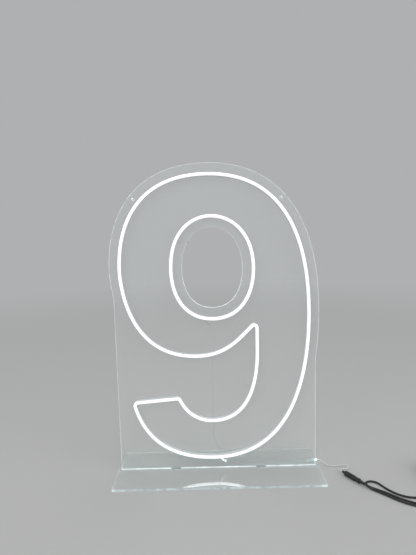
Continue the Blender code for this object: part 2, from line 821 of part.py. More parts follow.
def cords(rubber):
    """Free stretch from the plug to the coil, the coil, and the short tail up to the adapter."""
    start = plug_start() + plug_way() * (plug_body + plug_relief + fit_gap)
    coil = coil_points()
    lead_in = coil[0] + Vector((0, fit_gap, 0))
    before = lead_in + Vector((0, cord_diameter, 0))
    route = [start, start + plug_way() * cord_diameter, *route_points(cord_route), before, lead_in]
    tube("adapter_cord", smooth_route(route, cord_diameter), cord_diameter, rubber)
    tube("cord_coil", coil, cord_diameter, rubber, 1)
    tip = adapter_relief_tip()
    begin, end = coil[-1] + Vector((0, fit_gap, 0)), tip - Vector((0, fit_gap, 0))
    ease = Vector((0, tail_rise / 4, 0))
    tube("cord_tail", smooth_route([begin, begin + ease, end - ease, end], cord_diameter), cord_diameter, rubber)
    print("coil: least gap between turns %.2f mm" % (coil_gap() / mm))


def cord_tie(material):
    """Flat band closed around the coil's bundle of turns."""
    inner = coil_inner - cord_diameter / 2 - fit_gap
    outer = coil_outer() + cord_diameter / 2 + fit_gap
    middle = coil_middle + Vector((0, -(inner + outer) / 2, 0))
    top = coil_lift() + coil_pitch + cord_diameter / 2 + fit_gap
    bottom = tie_thickness
    middle.z = (bottom + top) / 2
    opening = Vector((tie_width, outer - inner, top - bottom))
    wall = Vector((0, tie_thickness, tie_thickness)) * 2
    tie = block("cord_tie", middle, opening + wall, material)
    cut(tie, block("tie_opening", middle, opening + Vector((tie_width, 0, 0)), material))


def adapter(body, metal):
    """Plug-in adapter that lies beside the coil: case, cover with its two blades, and the cord's relief."""
    tip = adapter_relief_tip()
    half_width = Vector((adapter_width / 2, 0, 0))
    case_low = Vector((tip.x, tip.y + relief_length + fit_gap, 0)) - half_width
    case_high = case_low + Vector((adapter_width, adapter_case, adapter_height))
    case = rounded_block("adapter_case", case_low, case_high, adapter_corner, adapter_edge, "high", body)
    cover_low = case_low + Vector((0, adapter_case + fit_gap, 0))
    cover_high = cover_low + Vector((adapter_width, adapter_cover, adapter_height))
    cover = rounded_block("adapter_cover", cover_low, cover_high, adapter_corner, adapter_edge, "low", body)
    root = relief_diameter / 2
    neck = cord_diameter / 2 + fit_gap * 2
    groove = relief_length / 4
    profile = [(0.0, 0.0), (neck, 0.0)]
    for k in range(1, 4):
        radius = neck + (root - neck) * k / 4
        profile += [(radius, groove * k), (radius - 2 * fit_gap, groove * k), (radius, groove * (k + 0.5))]
    profile += [(root, relief_length), (root * 0.8, relief_length), (root * 0.8, relief_length + relief_root)]
    profile.append((0.0, relief_length + relief_root))
    along = Vector((0, 1, 0))
    turned("adapter_relief", profile, tip, along, body)
    bore = root * 0.8 + fit_gap
    depth = relief_root + 3 * fit_gap
    hole = turned(
        "relief_bore", [(0.0, 0.0), (bore, 0.0), (bore, depth), (0.0, depth)],
        tip + along * (relief_length - fit_gap), along, body,
    )
    cut(case, hole)
    face = Vector((tip.x, cover_high.y, adapter_height / 2))
    for side, name in ((-1, "left"), (1, "right")):
        offset = Vector((side * blade_spacing / 2, (blade_length - blade_root) / 2, 0))
        size = Vector((blade_thickness, blade_length + blade_root, blade_width))
        blade = block("adapter_blade_" + name, face + offset, size, metal)
        half = blade_thickness / 2 + fit_gap
        hole_start = face + Vector((side * blade_spacing / 2 - half, blade_hole_reach, 0))
        hole_profile = [(0.0, 0.0), (blade_hole / 2, 0.0), (blade_hole / 2, 2 * half), (0.0, 2 * half)]
        cut(blade, turned("blade_hole_" + name, hole_profile, hole_start, Vector((1, 0, 0)), metal))
        play = Vector((2 * fit_gap, 2 * fit_gap, 2 * fit_gap))
        cut(cover, block("blade_pocket_" + name, face + offset, size + play, metal))


def clear_scene():
    """Empties the scene."""
    for thing in list(bpy.data.objects):
        bpy.data.objects.remove(thing, do_unlink=True)


def build():
    """Builds every piece of the light-up number."""
    clear_scene()
    acrylic = finish("clear_acrylic", (0.92, 0.97, 0.96), 0.05, clear=0.9)
    silicone = finish("white_silicone", (0.95, 0.98, 1.0), 0.45, glow=2.0)
    strip = finish("led_strip", (0.9, 0.9, 0.85), 0.4, glow=1.0)
    sealant = finish("clear_silicone", (0.85, 0.88, 0.88), 0.3, clear=0.6)
    clear_lead = finish("clear_lead", (0.75, 0.78, 0.78), 0.25, clear=0.5)
    rubber = finish("black_rubber", (0.02, 0.02, 0.022), 0.45)
    body = finish("black_plastic", (0.025, 0.025, 0.027), 0.35)
    metal = finish("nickel", (0.75, 0.74, 0.7), 0.25, metallic=1.0)
    outline_path = closed_path(outline_shares)
    counter_path = closed_path(counter_shares)
    outline = opened(outline_path, joint_advance)
    around = length_of(counter_path + counter_path[:1])
    counter = opened(counter_path, counter_joint_share * around)
    base_plate(acrylic)
    back_panel(outline, counter_path, acrylic)
    light_line("outline", outline, 1, (silicone, strip, sealant))
    light_line("counter", counter, -1, (silicone, strip, sealant))
    outline_lead(outline, clear_lead)
    counter_lead(outline, counter, clear_lead)
    splice_and_clip(sealant, acrylic)
    supply_lead(clear_lead)
    jack_and_pin(rubber, metal)
    plug_and_barrel(rubber, metal)
    cords(rubber)
    cord_tie(body)
    adapter(body, metal)


build()
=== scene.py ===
"""Looks of the light-up number nine: lit silicone tubes on clear sheet, its leads, plug, cord and adapter.

Lengths are in metres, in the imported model's frame: X to the right, Y away from the camera and Z up.
"""

import math

import bmesh
import bpy
from mathutils import Euler, Matrix, Vector
from mathutils.geometry import interpolate_bezier


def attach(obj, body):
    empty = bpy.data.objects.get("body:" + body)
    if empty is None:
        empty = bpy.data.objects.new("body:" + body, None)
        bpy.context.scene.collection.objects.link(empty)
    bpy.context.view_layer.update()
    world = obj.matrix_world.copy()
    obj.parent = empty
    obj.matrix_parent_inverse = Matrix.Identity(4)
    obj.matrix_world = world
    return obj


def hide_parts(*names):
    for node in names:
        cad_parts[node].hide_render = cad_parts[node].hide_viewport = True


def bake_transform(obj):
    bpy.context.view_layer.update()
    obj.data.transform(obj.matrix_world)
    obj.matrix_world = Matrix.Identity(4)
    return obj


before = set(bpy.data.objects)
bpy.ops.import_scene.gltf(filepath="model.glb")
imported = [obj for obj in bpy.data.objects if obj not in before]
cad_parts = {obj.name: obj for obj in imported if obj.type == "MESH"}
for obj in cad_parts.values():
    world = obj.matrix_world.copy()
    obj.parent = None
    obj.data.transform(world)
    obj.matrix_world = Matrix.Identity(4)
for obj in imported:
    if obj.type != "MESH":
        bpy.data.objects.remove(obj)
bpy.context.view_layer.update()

mm = 0.001
fit_gap = 0.3 * mm

# Camera, as the photograph was taken
camera_place = Vector((-11.3, -797.8, 482.8)) * mm
camera_pitch = math.radians(6.49)
camera_yaw = math.radians(-0.06)
camera_roll = math.radians(-1.4)
camera_lens = 27.07

# Studio; each lamp has a name, a place, a size and its watts
lamps = (("key", (-1.3, -1.6, 1.9), (1.2, 1.2), 16), ("fill", (1.6, -0.9, 1.2), (1.0, 1.4), 7))
lamp_target = (0, 0, 0.3)
floor_reach = 6.0
floor_drop = 0.1 * mm
floor_colour = (0.5, 0.5, 0.49)
floor_roughness = 0.6
light_colour = (0.68, 0.69, 0.7)
backdrop_colour = (0.43, 0.435, 0.44)
fade_start = 0.8
fade_end = 3.2

# Light of the tubes, its painted boost in reflections, and the painted glow that stands for it in the sheets'
# edges and the outline's lead
tube_light = (0.93, 0.985, 1.0)
tube_strength = 0.6
mirrored_strength = 9.0
edge_light = (0.88, 0.985, 1.0)
contour_glow = 0.42
foot_glow = 0.3
cutout_glow = (0.6, 0.25)
base_glows = (0.06, 0.42)
spark_reach = 8 * mm
lead_glow = 1.6
lead_glow_reach = 22 * mm

# Colours of clear sheet, of its edges, of the light behind clear things and of the LED strips
sheet_colour = (0.975, 0.992, 0.99)
edge_colour = (0.86, 0.965, 0.95)
shadow_tint = (0.93, 0.97, 0.96)
board_colour = (0.9, 0.9, 0.87)

# The nine on its sleeve's centre line, and the sheets that carry it
digit_width = 359.2 * mm
digit_height = 552.9 * mm
digit_lift = 27.7 * mm
base_depth = 134 * mm
base_thickness = 5 * mm
base_overhang = 6.8 * mm
base_corner = 1.2 * mm
panel_thickness = 5 * mm
panel_margin = 18.9 * mm
foot_inset = 6 * mm
cutout_margin = 17.3 * mm
tab_width = 20 * mm
tab_spacing = 172 * mm
hanger_bore = 4.5 * mm
hanger_shares = (0.296, 0.438)
edge_polish = 0.25 * mm

# Sleeve and channel
sleeve_width = 6 * mm
sleeve_depth = 12 * mm
sleeve_corner = 0.5 * mm
channel_width = 4.4 * mm
channel_height = 2.4 * mm
channel_floor = 3 * mm
joint_gap = 0.5 * mm
joint_advance = 9.4 * mm
counter_joint_share = 0.63
circuit_height = 1.1 * mm

# Thin leads on the panel, their splice and its clip
lead_diameter = 1.6 * mm
lead_exit = 4.6 * mm
lead_drop = 15.5 * mm
lead_slant = 7.2 * mm
lead_play = 0.6 * mm
lead_run = 6 * mm
lead_pair = 3.6 * mm
splice_diameter = 5.4 * mm
splice_length = 20 * mm
splice_overhang = 5.5 * mm
splice_height = 7 * mm
clip_length = 9 * mm
clip_wall = 1.2 * mm
clip_mouth = 0.8
clip_corner = 1.2 * mm
clip_polish = 0.2 * mm
splice_softness = 0.8 * mm

# Supply lead, jack and plug
supply_diameter = 2.6 * mm
supply_thickness = 1.5 * mm
core_diameter = 0.75 * mm
jack_diameter = 9.6 * mm
jack_body = 15 * mm
jack_relief = 6 * mm
socket_bore = 6.1 * mm
socket_depth = 10 * mm
pin_diameter = 2.1 * mm
pin_root = 3 * mm
barrel_diameter = 5.5 * mm
barrel_bore = 2.8 * mm
barrel_length = 9.4 * mm
barrel_root = 4 * mm
plug_diameter = 9.6 * mm
plug_body = 18 * mm
plug_relief = 11 * mm
seat_gap = 0.5 * mm
rubber_softness = 0.25 * mm
pin_softness = 0.3 * mm

# Adapter's cord, its coil and the adapter
cord_diameter = 3.6 * mm
coil_inner = 13.3 * mm
coil_pitch = 4.2 * mm
coil_turns = 6.5
tie_width = 3 * mm
tie_thickness = 0.8 * mm
tie_polish = 0.15 * mm
tie_corners = (1.5 * mm, 2.2 * mm)
tail_rise = 20 * mm
adapter_width = 40 * mm
adapter_height = 27 * mm
adapter_case = 46 * mm
adapter_cover = 20 * mm
adapter_corner = 4 * mm
adapter_edge = 1.5 * mm
seam_edge = 0.3 * mm
relief_length = 18 * mm
relief_diameter = 7 * mm
relief_ribs = 7
relief_groove = 0.7 * mm
relief_softness = 0.2 * mm
blade_width = 6.3 * mm
blade_thickness = 1.5 * mm
blade_length = 17 * mm
blade_root = 4 * mm
blade_spacing = 12.7 * mm
blade_hole = 3.1 * mm
blade_hole_reach = 11.7 * mm
blade_corner = 1.0 * mm
blade_polish = 0.25 * mm

# Knots of both loops, as in the part: place, arriving and leaving handle as shares, and the bend's radius
peak_bend = 5.6 * mm
tail_bend = 6.6 * mm
outline_shares = [
    ((-0.022, 0.000), (0.340, 0.000), (0.450, 0.000), 0),
    ((0.500, 0.516), (0.000, 0.197), (0.000, 0.340), 0),
    ((-0.032, 1.000), (-0.324, 0.000), (-0.389, 0.000), 0),
    ((-0.500, 0.682), (0.000, -0.130), (0.000, -0.042), 0),
    ((-0.103, 0.375), (0.375, 0.000), (0.160, 0.000), 0),
    ((0.222, 0.496), (0.067, 0.043), (0.000, -0.035), peak_bend),
    ((0.222, 0.390), (0.000, -0.035), (0.000, -0.087), 0),
    ((-0.025, 0.138), (-0.220, 0.000), (-0.066, 0.000), 0),
    ((-0.206, 0.222), (-0.038, 0.055), (-0.083, -0.004), tail_bend),
    ((-0.455, 0.209), (-0.083, -0.004), (0.022, -0.048), tail_bend),
]
counter_shares = [
    ((-0.012, 0.507), (0.136, 0.000), (0.144, 0.000), 0),
    ((0.207, 0.683), (0.000, 0.099), (0.000, 0.114), 0),
    ((-0.017, 0.861), (-0.119, 0.000), (-0.084, 0.000), 0),
    ((-0.229, 0.681), (0.000, -0.139), (0.000, -0.104), 0),
]

# Leads behind the panel, as shares along the counter and of the digit's width and height
counter_lead_shares = (0.04, 0.10, 0.17, 0.24, 0.30)
lead_down_shares = ((-0.012, 0.46), (-0.020, 0.36), (-0.024, 0.25), (-0.022, 0.13), (-0.012, 0.04))
run_sag_shares = ((0.16, 0.62), (0.32, 0.12), (0.52, 0.0), (0.74, 0.15))

# Cords' free routes
supply_route = [
    (208.6, 6.6, 10.7), (213.2, 5.2, 7.4), (217.8, 3.4, 4.2), (223.6, 1.6, 2.0), (231.0, 0.4, 1.4),
    (239.0, 0.4, 1.4), (247.4, 1.6, 1.4), (255.5, 2.4, 1.4), (260.2, 0.6, 1.4), (262.2, -4.0, 1.4),
    (260.2, -8.6, 1.4), (255.5, -10.6, 1.4), (250.0, -11.7, 1.4), (244.4, -13.1, 1.5), (241.2, -15.4, 1.9),
    (240.0, -18.8, 3.0),
]
jack_tail = Vector((243.2, -25.8, 0)) * mm
plug_heading = math.radians(-56.7)
cord_route = [
    (279.0, -78.4, 2.6), (286.9, -86.4, 2.0), (297.9, -96.4, 1.9), (313.0, -111.8, 1.9),
    (324.0, -120.6, 1.9), (334.6, -126.6, 1.9), (342.0, -131.2, 1.9), (347.4, -137.0, 1.9),
    (350.2, -141.8, 1.9), (356.4, -144.0, 1.9), (362.0, -140.8, 1.9), (364.0, -134.6, 1.9),
    (361.8, -128.6, 1.9), (356.2, -125.8, 1.9), (348.6, -124.8, 1.9), (339.8, -121.2, 1.9),
    (329.3, -114.8, 1.9), (316.4, -105.2, 1.9), (302.6, -91.6, 1.9), (291.0, -82.0, 1.9),
    (283.2, -76.2, 1.9), (277.2, -71.2, 1.9), (274.6, -65.0, 1.9), (276.6, -58.8, 1.9), (282.2, -55.6, 1.9),
    (289.2, -55.8, 1.9), (295.8, -59.0, 1.9), (301.0, -67.0, 1.9), (306.2, -77.8, 1.9), (313.6, -88.8, 1.9),
    (324.0, -98.8, 1.9), (336.0, -104.8, 1.9), (348.4, -106.6, 1.9), (360.8, -106.9, 2.3),
    (366.9, -109.1, 2.8),
]
coil_middle = Vector((396, -122, 0)) * mm

# Fineness
most_turn = math.radians(2)
bend_step = math.radians(8)
curve_steps = 121
ease_rounds = 14
route_steps = 16
dome_steps = 14
round_segments = 48
turn_points = 60
clip_steps = 24
merge_reach = 0.002 * mm
sharp_angle = math.radians(34)
rim_angle = math.radians(12)
large_face = 20 * mm * mm

# Worked out from these: heights and depths at the number, and where its splice, jack and plug lie
digit_bottom = base_thickness + fit_gap + digit_lift
foot_half = (digit_width + sleeve_width) / 2 + panel_margin - foot_inset
sleeve_back = -(panel_thickness / 2 + fit_gap)
channel_middle = sleeve_back - channel_floor - channel_height / 2
behind_panel = lead_diameter / 2 - sleeve_back
splice_start = Vector((
    foot_half + splice_overhang - splice_length, fit_gap - sleeve_back + clip_wall + splice_diameter / 2,
    base_thickness + splice_height,
))
plug_way = Vector((math.cos(plug_heading), math.sin(plug_heading), 0))
jack_start = jack_tail + Vector((0, 0, jack_diameter / 2))
plug_start = jack_start + plug_way * (jack_relief + jack_body + seat_gap)

# Where the painted glow in the sheets' edges fades, each from nought to full
foot_top_fade = (base_thickness + 14 * mm, base_thickness + 4 * mm)
foot_low_fade = (base_thickness - 1.5 * mm, base_thickness)
cutout_bottom = digit_bottom + 0.56 * digit_height
cutout_side_fade = (80 * mm, 62 * mm)
cutout_low_fade = (cutout_bottom - 20 * mm, cutout_bottom)
cutout_high_fade = (cutout_bottom + 190 * mm, cutout_bottom + 165 * mm)
cutout_rise = (cutout_bottom, cutout_bottom + 95 * mm)
base_end_fade = (150 * mm, 180 * mm)
base_depth_fade = (30 * mm, 50 * mm)


# Camera, lights and floor

def photograph_camera():
    """Camera at the photograph's place and angle."""
    camera = put("camera", bpy.data.cameras.new("camera"))
    camera.data.lens = camera_lens
    camera.location = camera_place
    level = Euler((math.pi / 2 - camera_pitch, 0, -camera_yaw)).to_matrix()
    camera.rotation_euler = (level @ Matrix.Rotation(camera_roll, 3, "Z")).to_euler()
    bpy.context.scene.camera = camera


def area_lamp(name, place, size, watts):
    """Soft rectangular lamp turned towards the number."""
    lamp = put(name, bpy.data.lights.new(name, "AREA"))
    lamp.data.shape = "RECTANGLE"
    lamp.data.size, lamp.data.size_y = size
    lamp.data.energy = watts
    lamp.location = place
    lamp.rotation_euler = (Vector(lamp_target) - Vector(place)).to_track_quat("-Z", "Y").to_euler()


def studio():
    """Pale floor, pale backdrop, even world light and two soft lamps."""
    scene = bpy.context.scene
    scene.view_settings.view_transform = "Standard"
    scene.world = bpy.data.worlds.new("studio")
    scene.world.use_nodes = True
    tree = scene.world.node_tree
    light = tree.nodes["Background"]
    feed(tree, light.inputs["Color"], light_colour)
    seen = node(tree, "ShaderNodeBackground", {"Color": backdrop_colour})
    path = node(tree, "ShaderNodeLightPath").outputs
    ray = join(tree, "MAXIMUM", path["Is Camera Ray"], path["Is Glossy Ray"], path["Is Transmission Ray"])
    mask = join(tree, "MULTIPLY", ray, join(tree, "LESS_THAN", path["Diffuse Depth"], 0.5))
    mix_surface(tree, "World Output", mask, light, seen)
    for lamp in lamps:
        area_lamp(*lamp)
    bm = bmesh.new()
    below = Matrix.Translation((0, 0, -floor_drop))
    bmesh.ops.create_grid(bm, x_segments=1, y_segments=1, size=floor_reach, matrix=below)
    made = Finish("floor", None, floor_colour, floor_roughness)
    away = node(made.tree, "ShaderNodeVectorMath", {0: coordinate(made.tree, "Object")}, operation="LENGTH")
    fade = made.ramp(away.outputs["Value"], fade_start, fade_end)
    backdrop = node(made.tree, "ShaderNodeEmission", {"Color": backdrop_colour})
    mix_surface(made.tree, "Material Output", fade, made.shader, backdrop)
    mesh = mesh_from("floor", bm)
    mesh.materials.append(made.material)
    put("floor", mesh)


# Material nodes

def join(tree, operation, first, *others):
    """Math nodes that take up sockets or values one after another."""
    for other in others:
        first = node(tree, "ShaderNodeMath", {0: first, 1: other}, operation=operation).outputs[0]
    return first


def feed(tree, socket, value):
    """Links a socket into an input, or sets the input's plain value."""
    if isinstance(value, bpy.types.NodeSocket):
        tree.links.new(value, socket)
    elif isinstance(value, tuple) and len(value) == 3 and socket.type == "RGBA":
        socket.default_value = (*value, 1.0)
    else:
        socket.default_value = value


def node(tree, kind, inputs=(), **settings):
    """New node with its settings, and its inputs by name or number."""
    made = tree.nodes.new(kind)
    for name, value in settings.items():
        setattr(made, name, value)
    for name, value in dict(inputs).items():
        feed(tree, made.inputs[name], value)
    return made


def coordinate(tree, kind):
    """Texture coordinate of a kind."""
    return node(tree, "ShaderNodeTexCoord").outputs[kind]


def mix_surface(tree, output, mask, first, second):
    """Gives an output the surface between two shaders."""
    mix = node(tree, "ShaderNodeMixShader", {0: mask, 1: first.outputs[0], 2: second.outputs[0]})
    feed(tree, tree.nodes[output].inputs["Surface"], mix.outputs[0])


def group(name, output, **inputs):
    """Shader node group with one output: its tree, what its inputs bring and where its output goes."""
    tree = bpy.data.node_groups.new(name, "ShaderNodeTree")
    for label, value in inputs.items():
        kind = "NodeSocketVector" if isinstance(value, tuple) else "NodeSocketFloat"
        tree.interface.new_socket(label, in_out="INPUT", socket_type=kind).default_value = value
    tree.interface.new_socket(output, in_out="OUTPUT", socket_type="NodeSocketFloat")
    return tree, tree.nodes.new("NodeGroupInput").outputs, tree.nodes.new("NodeGroupOutput").inputs[0]


def spread_group():
    """Noise between two values: for uneven gloss, smudges, cloudiness and grain, and for the uneven beads of
    painted glints along the sheets' glowing edges.
    """
    tree, enter, leave = group("spread", "Value", Scale=100.0, Low=0.0, High=1.0)
    place_at = coordinate(tree, "Object")
    detail = {"Vector": place_at, "Scale": enter["Scale"], "Detail": 4.0, "Roughness": 0.6}
    noise = node(tree, "ShaderNodeTexNoise", detail).outputs["Fac"]
    limits = {"From Min": 0.32, "From Max": 0.68, "To Min": enter["Low"], "To Max": enter["High"]}
    ranged = node(tree, "ShaderNodeMapRange", {"Value": noise, **limits})
    feed(tree, leave, ranged.outputs["Result"])
    return tree


def edge_group():
    """Mask that is 1 on a sheet's cut edges and 0 on its faces; Axis is the sheet's own normal."""
    tree, enter, leave = group("cut_edge", "Mask", Axis=(0.0, 0.0, 1.0))
    facing = {0: coordinate(tree, "Normal"), 1: enter["Axis"]}
    dot = node(tree, "ShaderNodeVectorMath", facing, operation="DOT_PRODUCT").outputs["Value"]
    flat = join(tree, "ABSOLUTE", dot, 0.0)
    ranged = node(tree, "ShaderNodeMapRange", {"Value": flat, "From Min": 0.9, "From Max": 0.35})
    feed(tree, leave, ranged.outputs["Result"])
    return tree


def near_group():
    """Mask that falls from 1 at a point to 0 at a distance from it."""
    tree, enter, leave = group("near_point", "Mask", Point=(0.0, 0.0, 0.0), Reach=0.01)
    ends = {0: coordinate(tree, "Object"), 1: enter["Point"]}
    gap = node(tree, "ShaderNodeVectorMath", ends, operation="DISTANCE").outputs["Value"]
    left = join(tree, "SUBTRACT", 1.0, join(tree, "DIVIDE", gap, enter["Reach"]))
    feed(tree, leave, join(tree, "MAXIMUM", left, 0.0))
    return tree


class Finish:
    """Material with one Principled shader, a slot name that it keeps but nothing uses, and helpers for what
    feeds the shader.

    Patches are a scale and two colours, gloss is a scale and two roughnesses, and relief is a scale, a
    strength and a depth. A finish with some transmission lets the lamps' light through.
    """

    def __init__(self, name, slot, colour, roughness, patches=(), gloss=(), relief=(), **plain):
        self.slot = slot
        self.material = bpy.data.materials.new(name)
        self.material.use_nodes = True
        self.tree = self.material.node_tree
        self.shader = self.tree.nodes["Principled BSDF"]
        self.set("Base Color", colour)
        self.set("Roughness", roughness)
        for label, value in plain.items():
            self.set(label.replace("_", " "), value)
        if patches:
            self.set("Base Color", self.patchy(*patches))
        if gloss:
            self.set("Roughness", self.spread(*gloss))
        if relief:
            scale, strength, depth = relief
            bump = {"Height": self.spread(scale), "Strength": strength, "Distance": depth}
            self.set("Normal", node(self.tree, "ShaderNodeBump", bump).outputs["Normal"])
        if "Transmission_Weight" in plain:
            shadow = node(self.tree, "ShaderNodeLightPath").outputs["Is Shadow Ray"]
            clear = node(self.tree, "ShaderNodeBsdfTransparent", {"Color": shadow_tint})
            mix_surface(self.tree, "Material Output", shadow, self.shader, clear)

    def set(self, label, value):
        """Feeds one input of the shader."""
        feed(self.tree, self.shader.inputs[label], value)

    def join(self, operation, *values):
        """Math on sockets or values in this material."""
        return join(self.tree, operation, *values)

    def grouped(self, name, **values):
        """Output of one of the shared groups, with this material's own values."""
        return node(self.tree, "ShaderNodeGroup", values, node_tree=groups[name]).outputs[0]

    def spread(self, scale, low=0.0, high=1.0):
        """Noise between two values."""
        return self.grouped("spread", Scale=scale, Low=low, High=high)

    def blend(self, mask, first, second):
        """Colour between two colours."""
        return node(self.tree, "ShaderNodeMix", {0: mask, 6: first, 7: second}, data_type="RGBA").outputs[2]

    def mixed(self, mask, first, second):
        """Value between two values."""
        return node(self.tree, "ShaderNodeMix", {0: mask, 2: first, 3: second}, data_type="FLOAT").outputs[0]

    def patchy(self, scale, first, second):
        """Colour that wanders between two colours."""
        return self.blend(self.spread(scale), first, second)

    def ramp(self, value, low, high):
        """Smooth step of a value between two limits."""
        limits = {"Value": value, "From Min": low, "From Max": high}
        made = node(self.tree, "ShaderNodeMapRange", limits, interpolation_type="SMOOTHSTEP")
        return made.outputs["Result"]

    def object_axis(self, axis):
        """Object coordinate along an axis."""
        parts = node(self.tree, "ShaderNodeSeparateXYZ", {"Vector": coordinate(self.tree, "Object")})
        return parts.outputs[axis]

    def near(self, point, reach):
        """One at a point, falling to nought at its reach."""
        return self.grouped("near_point", Point=tuple(point), Reach=reach)

    def from_middle(self, axis):
        """Distance from the middle along an axis."""
        return self.join("ABSOLUTE", self.object_axis(axis), 0.0)

    def in_mirrors(self):
        """One where a surface is seen as a reflection, nought where it is seen directly or through sheet."""
        path = node(self.tree, "ShaderNodeLightPath").outputs
        not_through = self.join("SUBTRACT", 1.0, path["Is Transmission Ray"])
        return self.join("MULTIPLY", path["Is Glossy Ray"], not_through)

    def glow(self, mask, light, strength=1.0):
        """Gives off light where a mask is one."""
        self.set("Emission Color", self.blend(mask, (0.0, 0.0, 0.0), light))
        self.set("Emission Strength", strength)


groups = {"spread": spread_group(), "cut_edge": edge_group(), "near_point": near_group()}


# Finishes

def clear_acrylic(name, axis, glow_of=None):
    """Polished clear sheet; its cut edges are tinted and a little rougher and, where glow_of is given, carry
    a painted glow that stands for the tubes' light in them.
    """
    made = Finish(name, "clear_acrylic", sheet_colour, 0.03, Transmission_Weight=0.94, IOR=1.49)
    edge = made.grouped("cut_edge", Axis=axis)
    made.set("Base Color", made.blend(edge, sheet_colour, edge_colour))
    made.set("Roughness", made.mixed(edge, made.spread(22.0, 0.012, 0.05), made.spread(240.0, 0.1, 0.26)))
    if glow_of:
        # Painted light: the cut edges glow, in uneven beads that stand for painted glints
        made.glow(made.join("MULTIPLY", edge, made.spread(90.0, 0.5, 1.25), glow_of(made)), edge_light)
    return made


def panel_glow(made):
    """Painted glow in the panel's edges: bright along the foot and the cut-out's bottom, faint along the
    contour, and brighter around the hanging holes.
    """
    height = made.object_axis("Z")
    foot = [made.ramp(height, *fade) for fade in (foot_top_fade, foot_low_fade)]
    ring = made.join(
        "MULTIPLY", made.ramp(made.from_middle("X"), *cutout_side_fade), made.ramp(height, *cutout_low_fade),
        made.ramp(height, *cutout_high_fade), made.mixed(made.ramp(height, *cutout_rise), *cutout_glow),
    )
    # Painted glow spots around the edges of the hanging holes
    sparks = [made.near(in_depth(middle, 0.0), spark_reach) for middle in hanging_holes(outline)]
    return made.join("ADD", ring, contour_glow, made.join("MULTIPLY", *foot, foot_glow), *sparks)


def base_glow(made):
    """Painted glow in the base's edges: brightest at the front, almost none at the rear and in the slots."""
    ends = made.ramp(made.from_middle("X"), *base_end_fade)
    rim = made.join("MAXIMUM", made.ramp(made.from_middle("Y"), *base_depth_fade), ends)
    front = made.ramp(made.object_axis("Y"), base_depth / 2, -base_depth / 2)
    return made.join("MULTIPLY", rim, made.mixed(front, *base_glows))


def lit_silicone():
    """Milky silicone whose dome glows cool white; its sides stay dim and show the wall."""
    made = Finish(
        "lit_silicone", "lit_silicone", (0.9, 0.92, 0.93), 0.42, gloss=(350.0, 0.36, 0.5),
        relief=(1400.0, 0.15, 0.05 * mm),
    )
    shoulder = sleeve_back - sleeve_depth + sleeve_width / 2
    depth = made.object_axis("Y")
    dome = made.ramp(depth, shoulder + 0.4 * mm, shoulder - 0.9 * mm)
    side = made.blend(made.ramp(depth, sleeve_back, shoulder), (0.01, 0.011, 0.012), (0.05, 0.053, 0.056))
    # Painted reflection: seen in a reflection, the dome's glow is mirrored_strength times brighter than seen
    # directly
    mirrored = tuple(mirrored_strength * part for part in tube_light)
    lit = made.blend(made.in_mirrors(), tube_light, mirrored)
    made.set("Emission Color", made.blend(dome, side, lit))
    made.set("Emission Strength", tube_strength)
    milk = made.patchy(900.0, (0.88, 0.9, 0.91), (0.93, 0.95, 0.955))
    made.set("Base Color", made.blend(dome, (0.7, 0.72, 0.725), milk))
    return made


def led_circuit():
    """White flexible circuit with copper pads, and chips with their yellow phosphor."""
    made = Finish("led_circuit", None, board_colour, 0.4, gloss=(500.0, 0.3, 0.5))
    front = sleeve_back - channel_floor - circuit_height
    chip = made.ramp(made.object_axis("Y"), front + 0.2 * mm, front - 0.2 * mm)
    board = made.blend(made.ramp(made.spread(700.0), 0.82, 0.9), board_colour, (0.72, 0.42, 0.22))
    made.set("Base Color", made.blend(chip, board, (0.93, 0.8, 0.28)))
    made.glow(chip, (0.95, 0.97, 1.0), 2.0)
    return made


def shrink_sleeve():
    """Milky shrunk sleeve; a painted glow near the panel's corner stands for the light that it scatters from
    there.
    """
    made = Finish(
        "shrink_sleeve", "clear_silicone", (0.82, 0.85, 0.85), 0.35,
        (300.0, (0.74, 0.77, 0.78), (0.87, 0.89, 0.89)), (420.0, 0.26, 0.48), (330.0, 0.4, 0.3 * mm),
        Transmission_Weight=0.72, IOR=1.45,
    )
    # Painted light: the sleeve glows near the panel's corner
    made.glow(made.ramp(made.object_axis("X"), foot_half - 3 * mm, foot_half + 2 * mm), (0.5, 0.53, 0.54))
    return made


def clear_pvc(name, clearness, lit_at=None):
    """Clear cable jacket; where lit_at is given, it glows with painted light near the point where a tube's
    light enters it.
    """
    made = Finish(
        name, "clear_lead", (0.88, 0.9, 0.9), 0.2, (240.0, (0.84, 0.86, 0.86), (0.93, 0.94, 0.94)),
        (500.0, 0.12, 0.26), Transmission_Weight=clearness, IOR=1.5,
    )
    if lit_at is not None:
        # Painted light: a glow that fades with distance from lit_at
        made.glow(made.near(lit_at, lead_glow_reach), tube_light, lead_glow)
    return made


# Lines in the digit's plane, as points (x, z)

def place(share):
    """Point of the digit's plane at these shares of its width and height."""
    return Vector((share[0] * digit_width, digit_bottom + share[1] * digit_height))


def span(share):
    """Step in the digit's plane of these shares of its width and height."""
    return Vector((share[0] * digit_width, share[1] * digit_height))


def turn_of(before, after):
    """Signed angle from one direction to the next, positive to the left."""
    return math.atan2(before.x * after.y - before.y * after.x, before.dot(after))


def bend_arc(corner, arrive, leave, radius):
    """Points of the arc that rounds a corner, or the corner itself where the line runs through smoothly."""
    if not radius:
        return [corner]
    turn = turn_of(arrive, leave)
    entry = corner - arrive.normalized() * radius * math.tan(abs(turn) / 2)
    side = Vector((-arrive.y, arrive.x)).normalized() * math.copysign(radius, turn)
    steps = math.ceil(abs(turn) / bend_step)
    return [entry + side - Matrix.Rotation(turn * k / steps, 2) @ side for k in range(steps + 1)]


